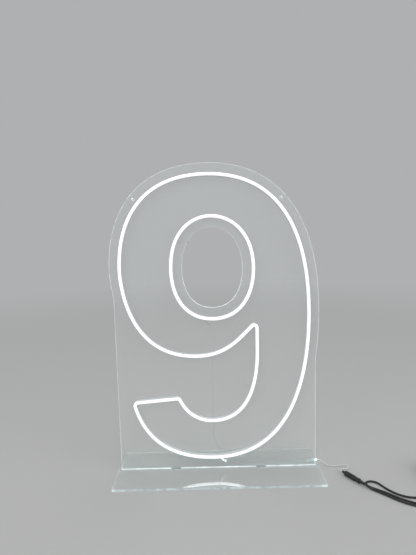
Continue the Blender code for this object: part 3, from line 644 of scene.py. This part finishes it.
def thinned(points):
    """Keeps both ends and each point where the line has turned by most_turn since the last one kept."""
    kept = [points[0]]
    turned_by = 0.0
    for before, here, after in zip(points, points[1:], points[2:]):
        turned_by += abs(turn_of(here - before, after - here))
        if turned_by >= most_turn:
            kept.append(here)
            turned_by = 0.0
    return kept + [points[-1]]


def closed_path(knots):
    """Closed line through the knots, with a curve between two knots and an arc at each bend."""
    arcs = [bend_arc(place(at), span(arrive), span(leave), bend) for at, arrive, leave, bend in knots]
    path = []
    for k, arc in enumerate(arcs):
        following = (k + 1) % len(knots)
        start, end = arc[-1], arcs[following][0]
        leave, arrive = span(knots[k][2]), span(knots[following][1])
        path += arc + thinned(interpolate_bezier(start, start + leave, end - arrive, end, curve_steps))[1:-1]
    return path


def length_of(line):
    """Length of an open line."""
    return sum((b - a).length for a, b in zip(line, line[1:]))


def spot(line, distance):
    """Point of an open line at a distance from its start, and the line's direction there."""
    for a, b in zip(line, line[1:]):
        step = (b - a).length
        if distance <= step:
            return a + (b - a) * distance / step, (b - a).normalized()
        distance -= step
    return b, (b - a).normalized()


def opened(path, start):
    """Closed path cut open at a distance from its first point, with the joint's gap between its ends."""
    first = start + joint_gap / 2
    last = start + length_of(path + path[:1]) - joint_gap / 2
    line = path + path + path[:1]
    inner = []
    travelled = 0.0
    for a, b in zip(line, line[1:]):
        travelled += (b - a).length
        if first + fit_gap < travelled < last - fit_gap:
            inner.append(b)
    return [spot(line, first)[0]] + inner + [spot(line, last)[0]]


def right_of(direction):
    """Unit vector to the right of a direction, which is outwards on an anticlockwise loop."""
    return Vector((direction.y, -direction.x)).normalized()


def mitred(line):
    """Points of an open line with the vector across each, longer at a turn so that offsets stay parallel."""
    ways = [(b - a).normalized() for a, b in zip(line, line[1:])]
    result = []
    for point, a, b in zip(line, ways[:1] + ways, ways + ways[-1:]):
        across = right_of(a + b)
        result.append((point, across / across.dot(right_of(a))))
    return result


def in_depth(point, depth):
    """Space point from a point of the digit's plane and its depth along Y."""
    return Vector((point.x, depth, point.y))


def softened(points, radius, closed):
    """Outline or profile with its corners rounded, as far as the stretches between them allow."""
    line = [Vector(point) for point in points]
    result = []
    for k, corner in enumerate(line):
        arrive, leave = corner - line[k - 1], line[(k + 1) % len(line)] - corner
        turn = abs(turn_of(arrive, leave))
        if turn < bend_step or not closed and k in (0, len(line) - 1):
            result.append(corner)
        else:
            room = 0.45 * min(arrive.length, leave.length) / math.tan(turn / 2)
            result += bend_arc(corner, arrive, leave, min(radius, room))
    return result


# Making pieces

def put(name, data):
    """New object in the scene."""
    thing = bpy.data.objects.new(name, data)
    bpy.context.scene.collection.objects.link(thing)
    return thing


def keep(name, data, finish, body, *replaced):
    """Object for a finished piece: it rides on its body and stands for its CAD nodes."""
    data.materials.append(finish.material)
    thing = put(name, data)
    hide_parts(*replaced)
    if body:
        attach(thing, body)
    return thing


def mesh_from(name, bm):
    """Mesh of a bmesh, which is freed."""
    mesh = bpy.data.meshes.new(name)
    bm.to_mesh(mesh)
    bm.free()
    return mesh


def finished(name, bm, finish, body, *replaced, crisp=False):
    """Piece from a bmesh: doubles merged, faces outwards, smooth but for its sharp edges.

    A crisp piece keeps its large flat faces truly flat beside their rounded rims.
    """
    bmesh.ops.remove_doubles(bm, verts=bm.verts, dist=merge_reach)
    bmesh.ops.recalc_face_normals(bm, faces=bm.faces)
    limit = rim_angle if crisp else sharp_angle
    for face in bm.faces:
        level = max(abs(part) for part in face.normal) > 0.9999
        face.smooth = not (crisp and level and face.calc_area() > large_face)
    for edge in bm.edges:
        edge.smooth = len(edge.link_faces) == 2 and edge.calc_face_angle() < limit
    return keep(name, mesh_from(name, bm), finish, body, *replaced)


def sweep(line, loops, front):
    """Sleeve's mesh: its profile loops follow the line from station to station, and both ends are closed."""
    bm = bmesh.new()
    stations = mitred(line)
    rims = ([], [])
    for loop in loops:
        rings = []
        for point, across in stations:
            rings.append([bm.verts.new(in_depth(point + across * u, front - v)) for u, v in loop])
        for near, far in zip(rings, rings[1:]):
            for k in range(len(loop)):
                bm.faces.new((near[k - 1], near[k], far[k], far[k - 1]))
        for rim, ring in zip(rims, (rings[0], rings[-1])):
            rim += [bm.edges.get((ring[k - 1], ring[k])) for k in range(len(loop))]
    for rim in rims:
        bmesh.ops.triangle_fill(bm, edges=rim, use_beauty=True)
    return bm


def revolve(profile, start, heading, softness=0.0):
    """Mesh turned from (radius, along) points, laid from a start point along a heading."""
    bm = bmesh.new()
    points = [bm.verts.new((p.x, 0.0, p.y)) for p in softened(profile, softness, False)]
    edges = [bm.edges.new(pair) for pair in zip(points, points[1:])]
    if profile[0][0] and profile[-1][0]:
        edges.append(bm.edges.new((points[-1], points[0])))
    bmesh.ops.spin(
        bm, geom=points + edges, cent=(0, 0, 0), axis=(0, 0, 1), angle=2 * math.pi, steps=round_segments,
        use_merge=True, use_duplicate=False,
    )
    spin_to = Vector((0, 0, 1)).rotation_difference(heading).to_matrix().to_4x4()
    bmesh.ops.transform(bm, matrix=Matrix.Translation(start) @ spin_to, verts=bm.verts)
    return bm


def groove(start, width, slope, root, before, after):
    """Points of a groove in a turned profile: from one crest down to its root, along it and up again."""
    return [(before, start), (root, start + slope), (root, start + width - slope), (after, start + width)]


def add_spline(curve, points, closed):
    """Straight-sided spline through points of a plane or of space."""
    spline = curve.splines.new("POLY")
    spline.points.add(len(points) - 1)
    for point, at in zip(spline.points, points):
        point.co = (*Vector(at).to_3d(), 1.0)
    spline.use_cyclic_u = closed
    return spline


def mesh_of(curve):
    """Bmesh of a curve's own surface."""
    thing = put("shape", curve)
    evaluated = thing.evaluated_get(bpy.context.evaluated_depsgraph_get())
    bm = bmesh.new()
    bm.from_mesh(evaluated.to_mesh())
    evaluated.to_mesh_clear()
    bpy.data.objects.remove(thing)
    return bm


def cut_sheet(outlines, thickness, polish, matrix):
    """Flat sheet from an outline and its holes, with slightly rounded rims, laid by a matrix."""
    curve = bpy.data.curves.new("sheet", "CURVE")
    curve.dimensions = "2D"
    curve.fill_mode = "BOTH"
    curve.extrude = thickness / 2 - polish
    curve.bevel_depth = polish
    curve.bevel_resolution = 2
    curve.offset = -polish
    for outline in outlines:
        add_spline(curve, outline, True)
    bm = mesh_of(curve)
    bmesh.ops.transform(bm, matrix=matrix, verts=bm.verts)
    return bm


def across_x(x, y, z):
    """Matrix that lays a flat sheet upright across X, around a point."""
    return Matrix(((0, 0, 1, x), (1, 0, 0, y), (0, 1, 0, z), (0, 0, 0, 1)))


def line_curve(points, diameter, fineness):
    """Round tube of one open line through close points."""
    curve = bpy.data.curves.new("line", "CURVE")
    curve.dimensions = "3D"
    curve.twist_mode = "MINIMUM"
    curve.bevel_depth = diameter / 2
    curve.bevel_resolution = fineness
    curve.use_fill_caps = True
    add_spline(curve, points, False).use_smooth = True
    return curve


def eased(line, step):
    """Evenly spaced points along a line, relaxed so that no bend is sharp; both ends keep their direction."""
    total = length_of(line)
    count = round(total / step)
    points = [spot(line, total * k / count)[0] for k in range(count + 1)]
    for _ in range(ease_rounds):
        inner = [a / 4 + b / 2 + c / 4 for a, b, c in zip(points[1:-3], points[2:-2], points[3:-1])]
        points = points[:2] + inner + points[-2:]
    return points


def smooth_route(points, diameter):
    """Close points along a smooth curve through a route's own points."""
    chords = [b - a for a, b in zip(points, points[1:])]
    ways = [chord.normalized() for chord in chords]
    tangents = [ways[0]] + [(a + b).normalized() for a, b in zip(ways, ways[1:])] + [ways[-1]]
    fine = [points[0]]
    for k, chord in enumerate(chords):
        reach = chord.length / 3
        leave, arrive = points[k] + tangents[k] * reach, points[k + 1] - tangents[k + 1] * reach
        fine += interpolate_bezier(points[k], leave, arrive, points[k + 1], route_steps)[1:]
    return eased(fine, diameter / 3)


# Sleeves

def sleeve_profile():
    """Square back with softened corners and round dome of the sleeve, and its channel."""
    half = sleeve_width / 2
    shoulder = sleeve_depth - half
    angles = [math.pi * k / dome_steps for k in range(dome_steps + 1)]
    dome = [(half * math.cos(angle), shoulder + half * math.sin(angle)) for angle in angles]
    outside = softened([(-half, 0.0), (half, 0.0)] + dome, sleeve_corner, True)
    x, low, high = channel_width / 2, channel_floor, channel_floor + channel_height
    return [outside, [(-x, low), (x, low), (x, high), (-x, high)]]


def tubes(outline, counter, silicone):
    """Both lit tubes."""
    for name, line in (("outline", outline), ("counter", counter)):
        bm = sweep(line, sleeve_profile(), sleeve_back)
        finished("lit_" + name, bm, silicone, "number", name + "_sleeve")


# Panel and base

def side_crossing(inner, outer, x):
    """Point between two points where the line crosses an upright at x."""
    return inner + (outer - inner) * (x - inner.x) / (outer.x - inner.x)


def circle_outline(centre, diameter):
    """Corners of a many-sided hole."""
    angles = [2 * math.pi * k / round_segments for k in range(round_segments)]
    return [(centre.x + math.cos(a) * diameter / 2, centre.y + math.sin(a) * diameter / 2) for a in angles]


def box_outline(x, y, width, height):
    """Corners of a rectangle around a point."""
    return [(x + i * width / 2, y + j * height / 2) for i, j in ((-1, -1), (1, -1), (1, 1), (-1, 1))]


def panel_outline(outline):
    """Contour around the nine, closed by the straight-sided foot and its tabs."""
    reach = sleeve_width / 2 + panel_margin
    ring = [point + across * reach for point, across in mitred(outline)]
    first = next(k for k, point in enumerate(ring) if point.x > foot_half)
    last = max(k for k, point in enumerate(ring) if point.x < -foot_half)
    contour = [side_crossing(ring[first - 1], ring[first], foot_half)] + ring[first:last + 1]
    contour.append(side_crossing(ring[last + 1], ring[last], -foot_half))
    foot = base_thickness + fit_gap
    tabs = []
    for x in (-tab_spacing / 2, tab_spacing / 2):
        left, right = x - tab_width / 2, x + tab_width / 2
        tabs += [(left, foot), (left, fit_gap), (right, fit_gap), (right, foot)]
    return contour + [(-foot_half, foot)] + tabs + [(foot_half, foot)]


def lead_hole(outline):
    """Middle of the hole that takes the outline's lead through the panel, below the joint."""
    at, way = spot(outline, lead_exit + lead_slant)
    return at + right_of(way) * lead_drop


def hanging_holes(outline):
    """Middles of both hanging holes, between the tube and the panel's contour."""
    middles = []
    for share in hanger_shares:
        at, way = spot(outline, share * length_of(outline))
        middles.append(at + right_of(way) * (sleeve_width + panel_margin) / 2)
    return middles


def sheets(outline, counter_path):
    """Back panel with its cut-out and holes, and the base plate with its slots."""
    reach = sleeve_width / 2 + cutout_margin
    ring = mitred(counter_path + counter_path[:1])[1:-1]
    closing = mitred(counter_path[-1:] + counter_path[:2])[1]
    cutout = [point - across * reach for point, across in (closing, *ring)]
    holes = [circle_outline(middle, hanger_bore) for middle in hanging_holes(outline)]
    holes.append(circle_outline(lead_hole(outline), lead_diameter + 2 * lead_play))
    upright = Matrix.Rotation(math.pi / 2, 4, "X")
    bm = cut_sheet([panel_outline(outline), cutout, *holes], panel_thickness, edge_polish, upright)
    acrylic = clear_acrylic("clear_acrylic_panel", (0.0, 1.0, 0.0), panel_glow)
    finished("panel_sheet", bm, acrylic, "number", "back_panel", crisp=True)
    slot = (tab_width + 2 * fit_gap, panel_thickness + 2 * fit_gap)
    slots = [box_outline(x, 0.0, *slot) for x in (-tab_spacing / 2, tab_spacing / 2)]
    width = 2 * (foot_half + base_overhang)
    contour = softened(box_outline(0.0, 0.0, width, base_depth), base_corner, True)
    level = Matrix.Translation((0, 0, base_thickness / 2))
    bm = cut_sheet([contour, *slots], base_thickness, edge_polish, level)
    acrylic = clear_acrylic("clear_acrylic_base", (0.0, 0.0, 1.0), base_glow)
    finished("base_sheet", bm, acrylic, "stand", "base_plate", crisp=True)


# Leads held by the panel

def leave_sleeve(line, side):
    """First points of a lead: in the channel, through the sleeve's wall and clear of it."""
    at, way = spot(line, lead_exit)
    out = right_of(way) * side
    depth = channel_middle
    inside = at + out * (channel_width / 2 - lead_diameter)
    wall = at + out * (sleeve_width / 2 + fit_gap)
    clear = at + out * (sleeve_width / 2 + lead_diameter * 2)
    return [in_depth(inside, depth), in_depth(wall, depth), in_depth(clear, depth + lead_diameter / 2)]


def foot_run(start_x, rise):
    """Points along the panel's foot from an x to the splice; rise lifts the upper lead of the pair."""
    end = splice_start
    low = base_thickness + fit_gap + lead_run
    high = digit_bottom - lead_drop
    points = []
    for along, up in run_sag_shares:
        x = start_x + (end.x - start_x) * along
        points.append(Vector((x, behind_panel + lead_play * along, low + (high - low) * up + rise)))
    lift = Vector((0, 0, (lead_diameter / 2 + fit_gap) * (1 if rise else -1)))
    points.append(end + lift - Vector((4 * lead_diameter, 0, 0)))
    points.append(end + lift - Vector((fit_gap, 0, 0)))
    return points


def panel_leads(outline, counter):
    """Both thin leads: the outline's goes through its hole, and the counter's over the cut-out's edge."""
    hole = lead_hole(outline)
    bulge = behind_panel + lead_diameter
    first = leave_sleeve(outline, 1)
    low_route = first + [in_depth(hole, sleeve_back), in_depth(hole, -sleeve_back)]
    low_route += [in_depth(hole + Vector((lead_diameter * k, 0)), bulge) for k in (1, 4)]
    low_route += foot_run(hole.x, 0.0)
    at, way = spot(counter, lead_exit)
    inward = -right_of(way)
    edge = at + inward * (sleeve_width / 2 + cutout_margin)
    wrap = panel_thickness / 2 + lead_play + lead_diameter / 2
    route = leave_sleeve(counter, -1) + [in_depth(edge - inward * 2 * lead_diameter, -wrap - fit_gap)]
    for turn in map(math.radians, (-90, -45, 0, 45, 90)):
        route.append(in_depth(edge + inward * wrap * math.cos(turn), wrap * math.sin(turn)))
    total = length_of(counter)
    route += [in_depth(spot(counter, share * total)[0], behind_panel) for share in counter_lead_shares]
    route += [in_depth(place(share), behind_panel) for share in lead_down_shares]
    route += foot_run(hole.x, lead_pair)
    # The outline's lead gets a painted glow where it leaves the sleeve
    lit_jacket = clear_pvc("clear_pvc_lit", 0.85, first[1])
    jacket = clear_pvc("clear_pvc_panel", 0.92)
    for name, points, finish in (("outline", low_route, lit_jacket), ("counter", route, jacket)):
        curve = line_curve(smooth_route(points, lead_diameter), lead_diameter, 4)
        finished(name + "_wire", mesh_of(curve), finish, "number", name + "_lead")


def splice_and_clip(shrink):
    """Shrunk sleeve over the joint of the leads, and the clear saddle that holds it."""
    start, radius, length = splice_start, splice_diameter / 2, splice_length
    tip = supply_diameter / 2 + radius / 4
    profile = [
        (0.0, 0.0), (radius * 0.72, 0.0), (radius * 0.86, radius * 0.35), (radius, radius * 0.9),
        (radius * 0.97, length * 0.3), (radius * 0.9, length * 0.42), (radius * 0.96, length * 0.56),
        (radius * 0.88, length * 0.74), (tip * 1.08, length * 0.88), (tip, length), (0.0, length),
    ]
    bm = revolve(profile, start, Vector((1, 0, 0)), splice_softness)
    finished("splice_shrink", bm, shrink, "number", "lead_splice")
    near, far = -sleeve_back, start.y + radius
    half = radius + clip_wall + fit_gap
    bore = radius + fit_gap
    mouth = radius * clip_mouth
    opening = math.asin(mouth / bore)
    back = [(far, start.z + half), (near, start.z + half), (near, start.z - half), (far, start.z - half)]
    outline = softened(back, clip_corner, False) + [Vector((far, start.z - mouth))]
    for k in range(clip_steps + 1):
        angle = -opening - (2 * math.pi - 2 * opening) * k / clip_steps
        outline.append(Vector((start.y + bore * math.cos(angle), start.z + bore * math.sin(angle))))
    outline.append(Vector((far, start.z + mouth)))
    middle = foot_half - clip_length / 2 - clip_wall
    bm = cut_sheet([outline], clip_length, clip_polish, across_x(middle, 0, 0))
    clear = clear_acrylic("clear_acrylic_clip", (1.0, 0.0, 0.0))
    finished("splice_saddle", bm, clear, "number", "splice_clip", crisp=True)


# Supply lead, jack and plug

def sideways(points):
    """Level direction across a line at each of its points."""
    ways = [b - a for a, b in zip(points, points[1:])]
    ways = [a + b for a, b in zip(ways[:1] + ways, ways + ways[-1:])]
    return [Vector((way.y, -way.x, 0)).normalized() for way in ways]


def supply_lead(jacket, wire):
    """Flat clear twin lead from the splice to the jack, with a tinned core in each half."""
    start = splice_start + Vector((splice_length + fit_gap, 0, 0))
    end = jack_start - plug_way * fit_gap
    points = [start, start + Vector((supply_diameter, 0, 0))]
    points += [Vector(point) * mm for point in supply_route]
    points += [end - plug_way * supply_diameter * 1.5, end]
    points = smooth_route(points, supply_diameter)
    half = supply_thickness / 2
    reach = (supply_diameter - supply_thickness) / 2
    ring = []
    for side, first in ((1, -60), (-1, 120)):
        for angle in [math.radians(first + 15 * k) for k in range(9)]:
            ring.append((side * reach + half * math.cos(angle), half * math.sin(angle)))
    profile = bpy.data.curves.new("twin", "CURVE")
    add_spline(profile, ring, True)
    shape = put("twin", profile)
    curve = line_curve(points, supply_diameter, 2)
    curve.twist_mode = "Z_UP"
    curve.bevel_mode = "OBJECT"
    curve.bevel_object = shape
    bm = mesh_of(curve)
    bpy.data.objects.remove(shape)
    lead = finished("supply_lead_twin", bm, jacket, None, "supply_lead")
    cores = []
    for side, name in ((1, "right"), (-1, "left")):
        line = [point + way * side * reach for point, way in zip(points, sideways(points))]
        core = line_curve(line[1:-1], core_diameter, 2)
        cores.append(finished("supply_core_" + name, mesh_of(core), wire, None))
    for piece in (lead, *cores):
        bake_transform(piece)


def jack_and_pin(rubber, metal):
    """Inline jack with its relief, its socket and the pin that stands in it."""
    radius, bore, pin = jack_diameter / 2, socket_bore / 2, pin_diameter / 2
    neck = supply_diameter / 2 + fit_gap * 3
    length = jack_relief + jack_body
    floor = length - socket_depth
    root = floor - pin_root
    profile = [(0.0, 0.0), (neck, 0.0)]
    for k in range(3):
        crests = (neck + 0.15 * mm * k, neck + 0.15 * mm * (k + 1))
        profile += groove(jack_relief * (0.22 + 0.26 * k), 1.2 * mm, 0.3 * mm, neck - 0.35 * mm, *crests)
    profile += [(neck + 0.6 * mm, jack_relief), (radius - 0.9 * mm, jack_relief)]
    profile.append((radius, jack_relief + 1.3 * mm))
    for k in range(4):
        along = jack_relief + jack_body * (0.5 + 0.1 * k)
        profile += [(radius, along), (radius - 0.3 * mm, along + 0.3 * mm), (radius, along + 0.6 * mm)]
    profile += [
        (radius, length - 0.5 * mm), (radius - 0.5 * mm, length), (bore + 0.3 * mm, length),
        (bore, length - 0.3 * mm), (bore, floor), (pin + fit_gap, floor), (pin + fit_gap, root), (0.0, root),
    ]
    bm = revolve(profile, jack_start, plug_way, rubber_softness)
    finished("jack_body", bm, rubber, "stand", "dc_jack")
    length = pin_root + socket_depth - 5 * fit_gap
    profile = [(0.0, 0.0), (pin, 0.0), (pin, length - pin), (pin * 0.8, length - pin * 0.35)]
    profile += [(pin * 0.4, length), (0.0, length)]
    bm = revolve(profile, jack_start + plug_way * (root + fit_gap), plug_way, pin_softness)
    finished("jack_pin", bm, metal, "stand", "dc_jack_pin")


def plug_and_barrel(rubber, metal):
    """Plug's body with its grip and ribbed relief, and the barrel that goes into the jack."""
    radius, barrel, bore = plug_diameter / 2, barrel_diameter / 2, barrel_bore / 2
    grip = radius * 0.86
    neck = cord_diameter / 2 + fit_gap * 2
    length = plug_body + plug_relief
    profile = [
        (0.0, barrel_root + fit_gap), (barrel + fit_gap, barrel_root + fit_gap), (barrel + fit_gap, 0.3 * mm),
        (barrel + 2 * fit_gap, 0.0), (radius - 0.6 * mm, 0.0), (radius, 0.6 * mm), (radius, plug_body * 0.35),
        (grip, plug_body * 0.45),
    ]
    for k in range(5):
        profile += groove(plug_body * (0.5 + 0.065 * k), 0.85 * mm, 0.25 * mm, radius * 0.8, grip, grip)
    profile += [(grip, plug_body * 0.84), (radius, plug_body * 0.92), (radius * 0.9, plug_body)]
    for k in range(4):
        at = neck + fit_gap * 3 * (1 - k / 4)
        along = plug_body + plug_relief * (0.06 + 0.2 * k)
        profile += groove(along, 1.6 * mm, 0.4 * mm, at - 0.4 * mm, at, at - 0.1 * mm)
    profile += [(neck, length - 0.6 * mm), (neck - 0.2 * mm, length), (0.0, length)]
    bm = revolve(profile, plug_start, plug_way, rubber_softness)
    finished("plug_body", bm, rubber, "adapter", "dc_plug")
    reach = barrel_length + barrel_root
    ring = [(bore, 0.0), (barrel, 0.0), (barrel, reach - fit_gap), (barrel - fit_gap, reach)]
    ring += [(bore + 0.2 * mm, reach), (bore, reach - 0.2 * mm)]
    bm = revolve(ring, plug_start + plug_way * barrel_root, -plug_way)
    finished("plug_barrel", bm, metal, "adapter", "dc_plug_barrel")


# Adapter's cord, coil and adapter

def coil_point(turns):
    """Point of the coil after some turns: it spirals in, climbs a layer in half a turn and spirals out."""
    half = coil_turns / 2
    radius = coil_inner + coil_pitch * abs(turns - half)
    angle = math.pi + 2 * math.pi * turns
    climb = min(1.0, max(0.0, (turns - half) * 2 + 0.5))
    height = tie_thickness + fit_gap + cord_diameter / 2 + coil_pitch * climb
    return coil_middle + Vector((radius * math.cos(angle), radius * math.sin(angle), height))


def relief_tip():
    """Where the cord enters the adapter's relief."""
    end = coil_point(coil_turns) + Vector((0, cord_diameter, 0))
    return Vector((end.x, end.y + tail_rise, adapter_height / 2))


def adapter_cord(rubber):
    """The cord in one piece: from the plug over the floor, through its coil and up to the adapter."""
    start = plug_start + plug_way * (plug_body + plug_relief + fit_gap)
    coil = [coil_point(k / turn_points) for k in range(round(coil_turns * turn_points) + 1)]
    step = Vector((0, cord_diameter, 0))
    lead_in, last = coil[0] + step, coil[-1] + step
    route = [start, start + plug_way * cord_diameter, *[Vector(point) * mm for point in cord_route]]
    route += [lead_in + step, lead_in]
    tip = relief_tip() - Vector((0, fit_gap, 0))
    ease = Vector((0, tail_rise / 4, 0))
    tail = smooth_route([last, last + ease, tip - ease, tip], cord_diameter)
    points = smooth_route(route, cord_diameter) + coil + tail
    curve = line_curve(points, cord_diameter, 4)
    cord = keep("adapter_cord_whole", curve, rubber, "adapter", "adapter_cord", "cord_coil", "cord_tail")


def coil_band(plastic):
    """Flat band closed around the coil's bundle of turns."""
    inner = coil_inner - cord_diameter / 2 - fit_gap
    outer = coil_inner + coil_pitch * coil_turns / 2 + cord_diameter / 2 + fit_gap
    top = tie_thickness + fit_gap + cord_diameter + coil_pitch + fit_gap
    middle = (coil_middle.y - (inner + outer) / 2, (tie_thickness + top) / 2)
    width, height = outer - inner, top - tie_thickness
    wall = 2 * tie_thickness
    hole = softened(box_outline(*middle, width, height), tie_corners[0], True)
    outline = softened(box_outline(*middle, width + wall, height + wall), tie_corners[1], True)
    bm = cut_sheet([outline, hole], tie_width, tie_polish, across_x(coil_middle.x, 0, 0))
    finished("coil_band", bm, plastic, "adapter", "cord_tie", crisp=True)


def shell(name, low, high, soft_y, plastic, replaced):
    """Half of the adapter's housing: rounded long edges, a soft rim at one end, a small one at its seam."""
    bm = bmesh.new()
    size = high - low
    middle = Matrix.Translation((low + high) / 2) @ Matrix.Diagonal((*size, 1.0))
    bmesh.ops.create_cube(bm, size=1.0, matrix=middle)
    even = {"profile": 0.5, "affect": "EDGES", "material": -1}
    long_edges = [e for e in bm.edges if abs((e.verts[0].co - e.verts[1].co).y) > size.y / 2]
    bmesh.ops.bevel(bm, geom=long_edges, offset=adapter_corner, segments=8, **even)
    for y, offset, segments in ((soft_y, adapter_edge, 5), (low.y + high.y - soft_y, seam_edge, 2)):
        rim = [e for e in bm.edges if all(abs(v.co.y - y) < fit_gap / 3 for v in e.verts)]
        bmesh.ops.bevel(bm, geom=rim, offset=offset, segments=segments, **even)
    finished(name, bm, plastic, "adapter", replaced, crisp=True)


def adapter(plastic, rubber, metal):
    """Plug-in adapter beside the coil: case, cover, ribbed relief and both blades."""
    tip = relief_tip()
    case_low = Vector((tip.x, tip.y + relief_length + fit_gap, 0)) - Vector((adapter_width / 2, 0, 0))
    case_high = case_low + Vector((adapter_width, adapter_case, adapter_height))
    shell("case_shell", case_low, case_high, case_low.y, plastic, "adapter_case")
    cover_low = case_low + Vector((0, adapter_case + fit_gap, 0))
    cover_high = cover_low + Vector((adapter_width, adapter_cover, adapter_height))
    shell("cover_shell", cover_low, cover_high, cover_high.y, plastic, "adapter_cover")
    root = relief_diameter / 2
    neck = cord_diameter / 2 + fit_gap * 2
    pitch = relief_length / relief_ribs
    profile = [(0.0, 0.0), (neck - 0.3 * mm, 0.0), (neck, 0.4 * mm)]
    for k in range(relief_ribs):
        at = neck + (root - neck) * (k + 1) / relief_ribs
        profile += groove(pitch * (k + 0.42), pitch * 0.52, pitch * 0.08, at - relief_groove, at, at)
    profile += [(root, relief_length + fit_gap), (0.0, relief_length + fit_gap)]
    bm = revolve(profile, tip, Vector((0, 1, 0)), relief_softness)
    finished("relief_ribs", bm, rubber, "adapter", "adapter_relief")
    along = (blade_length - blade_root) / 2
    outline = softened(box_outline(0.0, 0.0, blade_length + blade_root, blade_width), blade_corner, True)
    loops = [outline, circle_outline(Vector((blade_hole_reach - along, 0.0)), blade_hole)]
    for side, name in ((-1, "left"), (1, "right")):
        middle = across_x(tip.x + side * blade_spacing / 2, cover_high.y + along, adapter_height / 2)
        bm = cut_sheet(loops, blade_thickness, blade_polish, middle)
        finished("blade_" + name, bm, metal, "adapter", "adapter_blade_" + name, crisp=True)


# Everything together

def dress_nodes(silicone, circuit):
    """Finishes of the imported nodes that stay."""
    for line in ("outline", "counter"):
        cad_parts[line + "_led_strip"].material_slots[0].material = circuit.material
        for end in ("start", "end"):
            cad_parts["%s_%s_plug" % (line, end)].material_slots[0].material = silicone.material


# Finishes that several pieces share, each with its patches, its gloss and mostly a relief
rubber = Finish(
    "black_rubber", "black_rubber", (0.016, 0.016, 0.018), 0.45,
    (320.0, (0.012, 0.012, 0.014), (0.026, 0.026, 0.028)), (180.0, 0.36, 0.56), (1600.0, 0.2, 0.06 * mm),
)
plastic = Finish(
    "black_plastic", "black_plastic", (0.02, 0.02, 0.022), 0.4,
    (260.0, (0.018, 0.018, 0.02), (0.026, 0.026, 0.028)), (150.0, 0.38, 0.46), (2600.0, 0.3, 0.05 * mm),
)
nickel = Finish(
    "nickel", "nickel", (0.76, 0.74, 0.7), 0.2, (500.0, (0.66, 0.64, 0.6), (0.8, 0.78, 0.74)),
    (800.0, 0.12, 0.32), Metallic=1.0,
)
silicone = Finish(
    "cloudy_silicone", None, (0.86, 0.89, 0.89), 0.3, (420.0, (0.8, 0.84, 0.84), (0.93, 0.95, 0.95)),
    (300.0, 0.2, 0.42), (260.0, 0.35, 0.3 * mm), Transmission_Weight=0.45, IOR=1.41,
)
wire = Finish(
    "tinned_wire", "clear_lead", (0.82, 0.82, 0.8), 0.3, (1500.0, (0.66, 0.66, 0.65), (0.9, 0.9, 0.88)),
    (1200.0, 0.22, 0.4), Metallic=1.0,
)

photograph_camera()
jack_and_pin(rubber, nickel)
supply_lead(clear_pvc("clear_pvc_supply", 0.35), wire)
plug_and_barrel(rubber, nickel)
coil_band(plastic)
adapter(plastic, rubber, nickel)
adapter_cord(rubber)

outline_path = closed_path(outline_shares)
counter_path = closed_path(counter_shares)
outline = opened(outline_path, joint_advance)
counter = opened(counter_path, counter_joint_share * length_of(counter_path + counter_path[:1]))
sheets(outline, counter_path)
tubes(outline, counter, lit_silicone())
panel_leads(outline, counter)
splice_and_clip(shrink_sleeve())
dress_nodes(silicone, led_circuit())
studio()
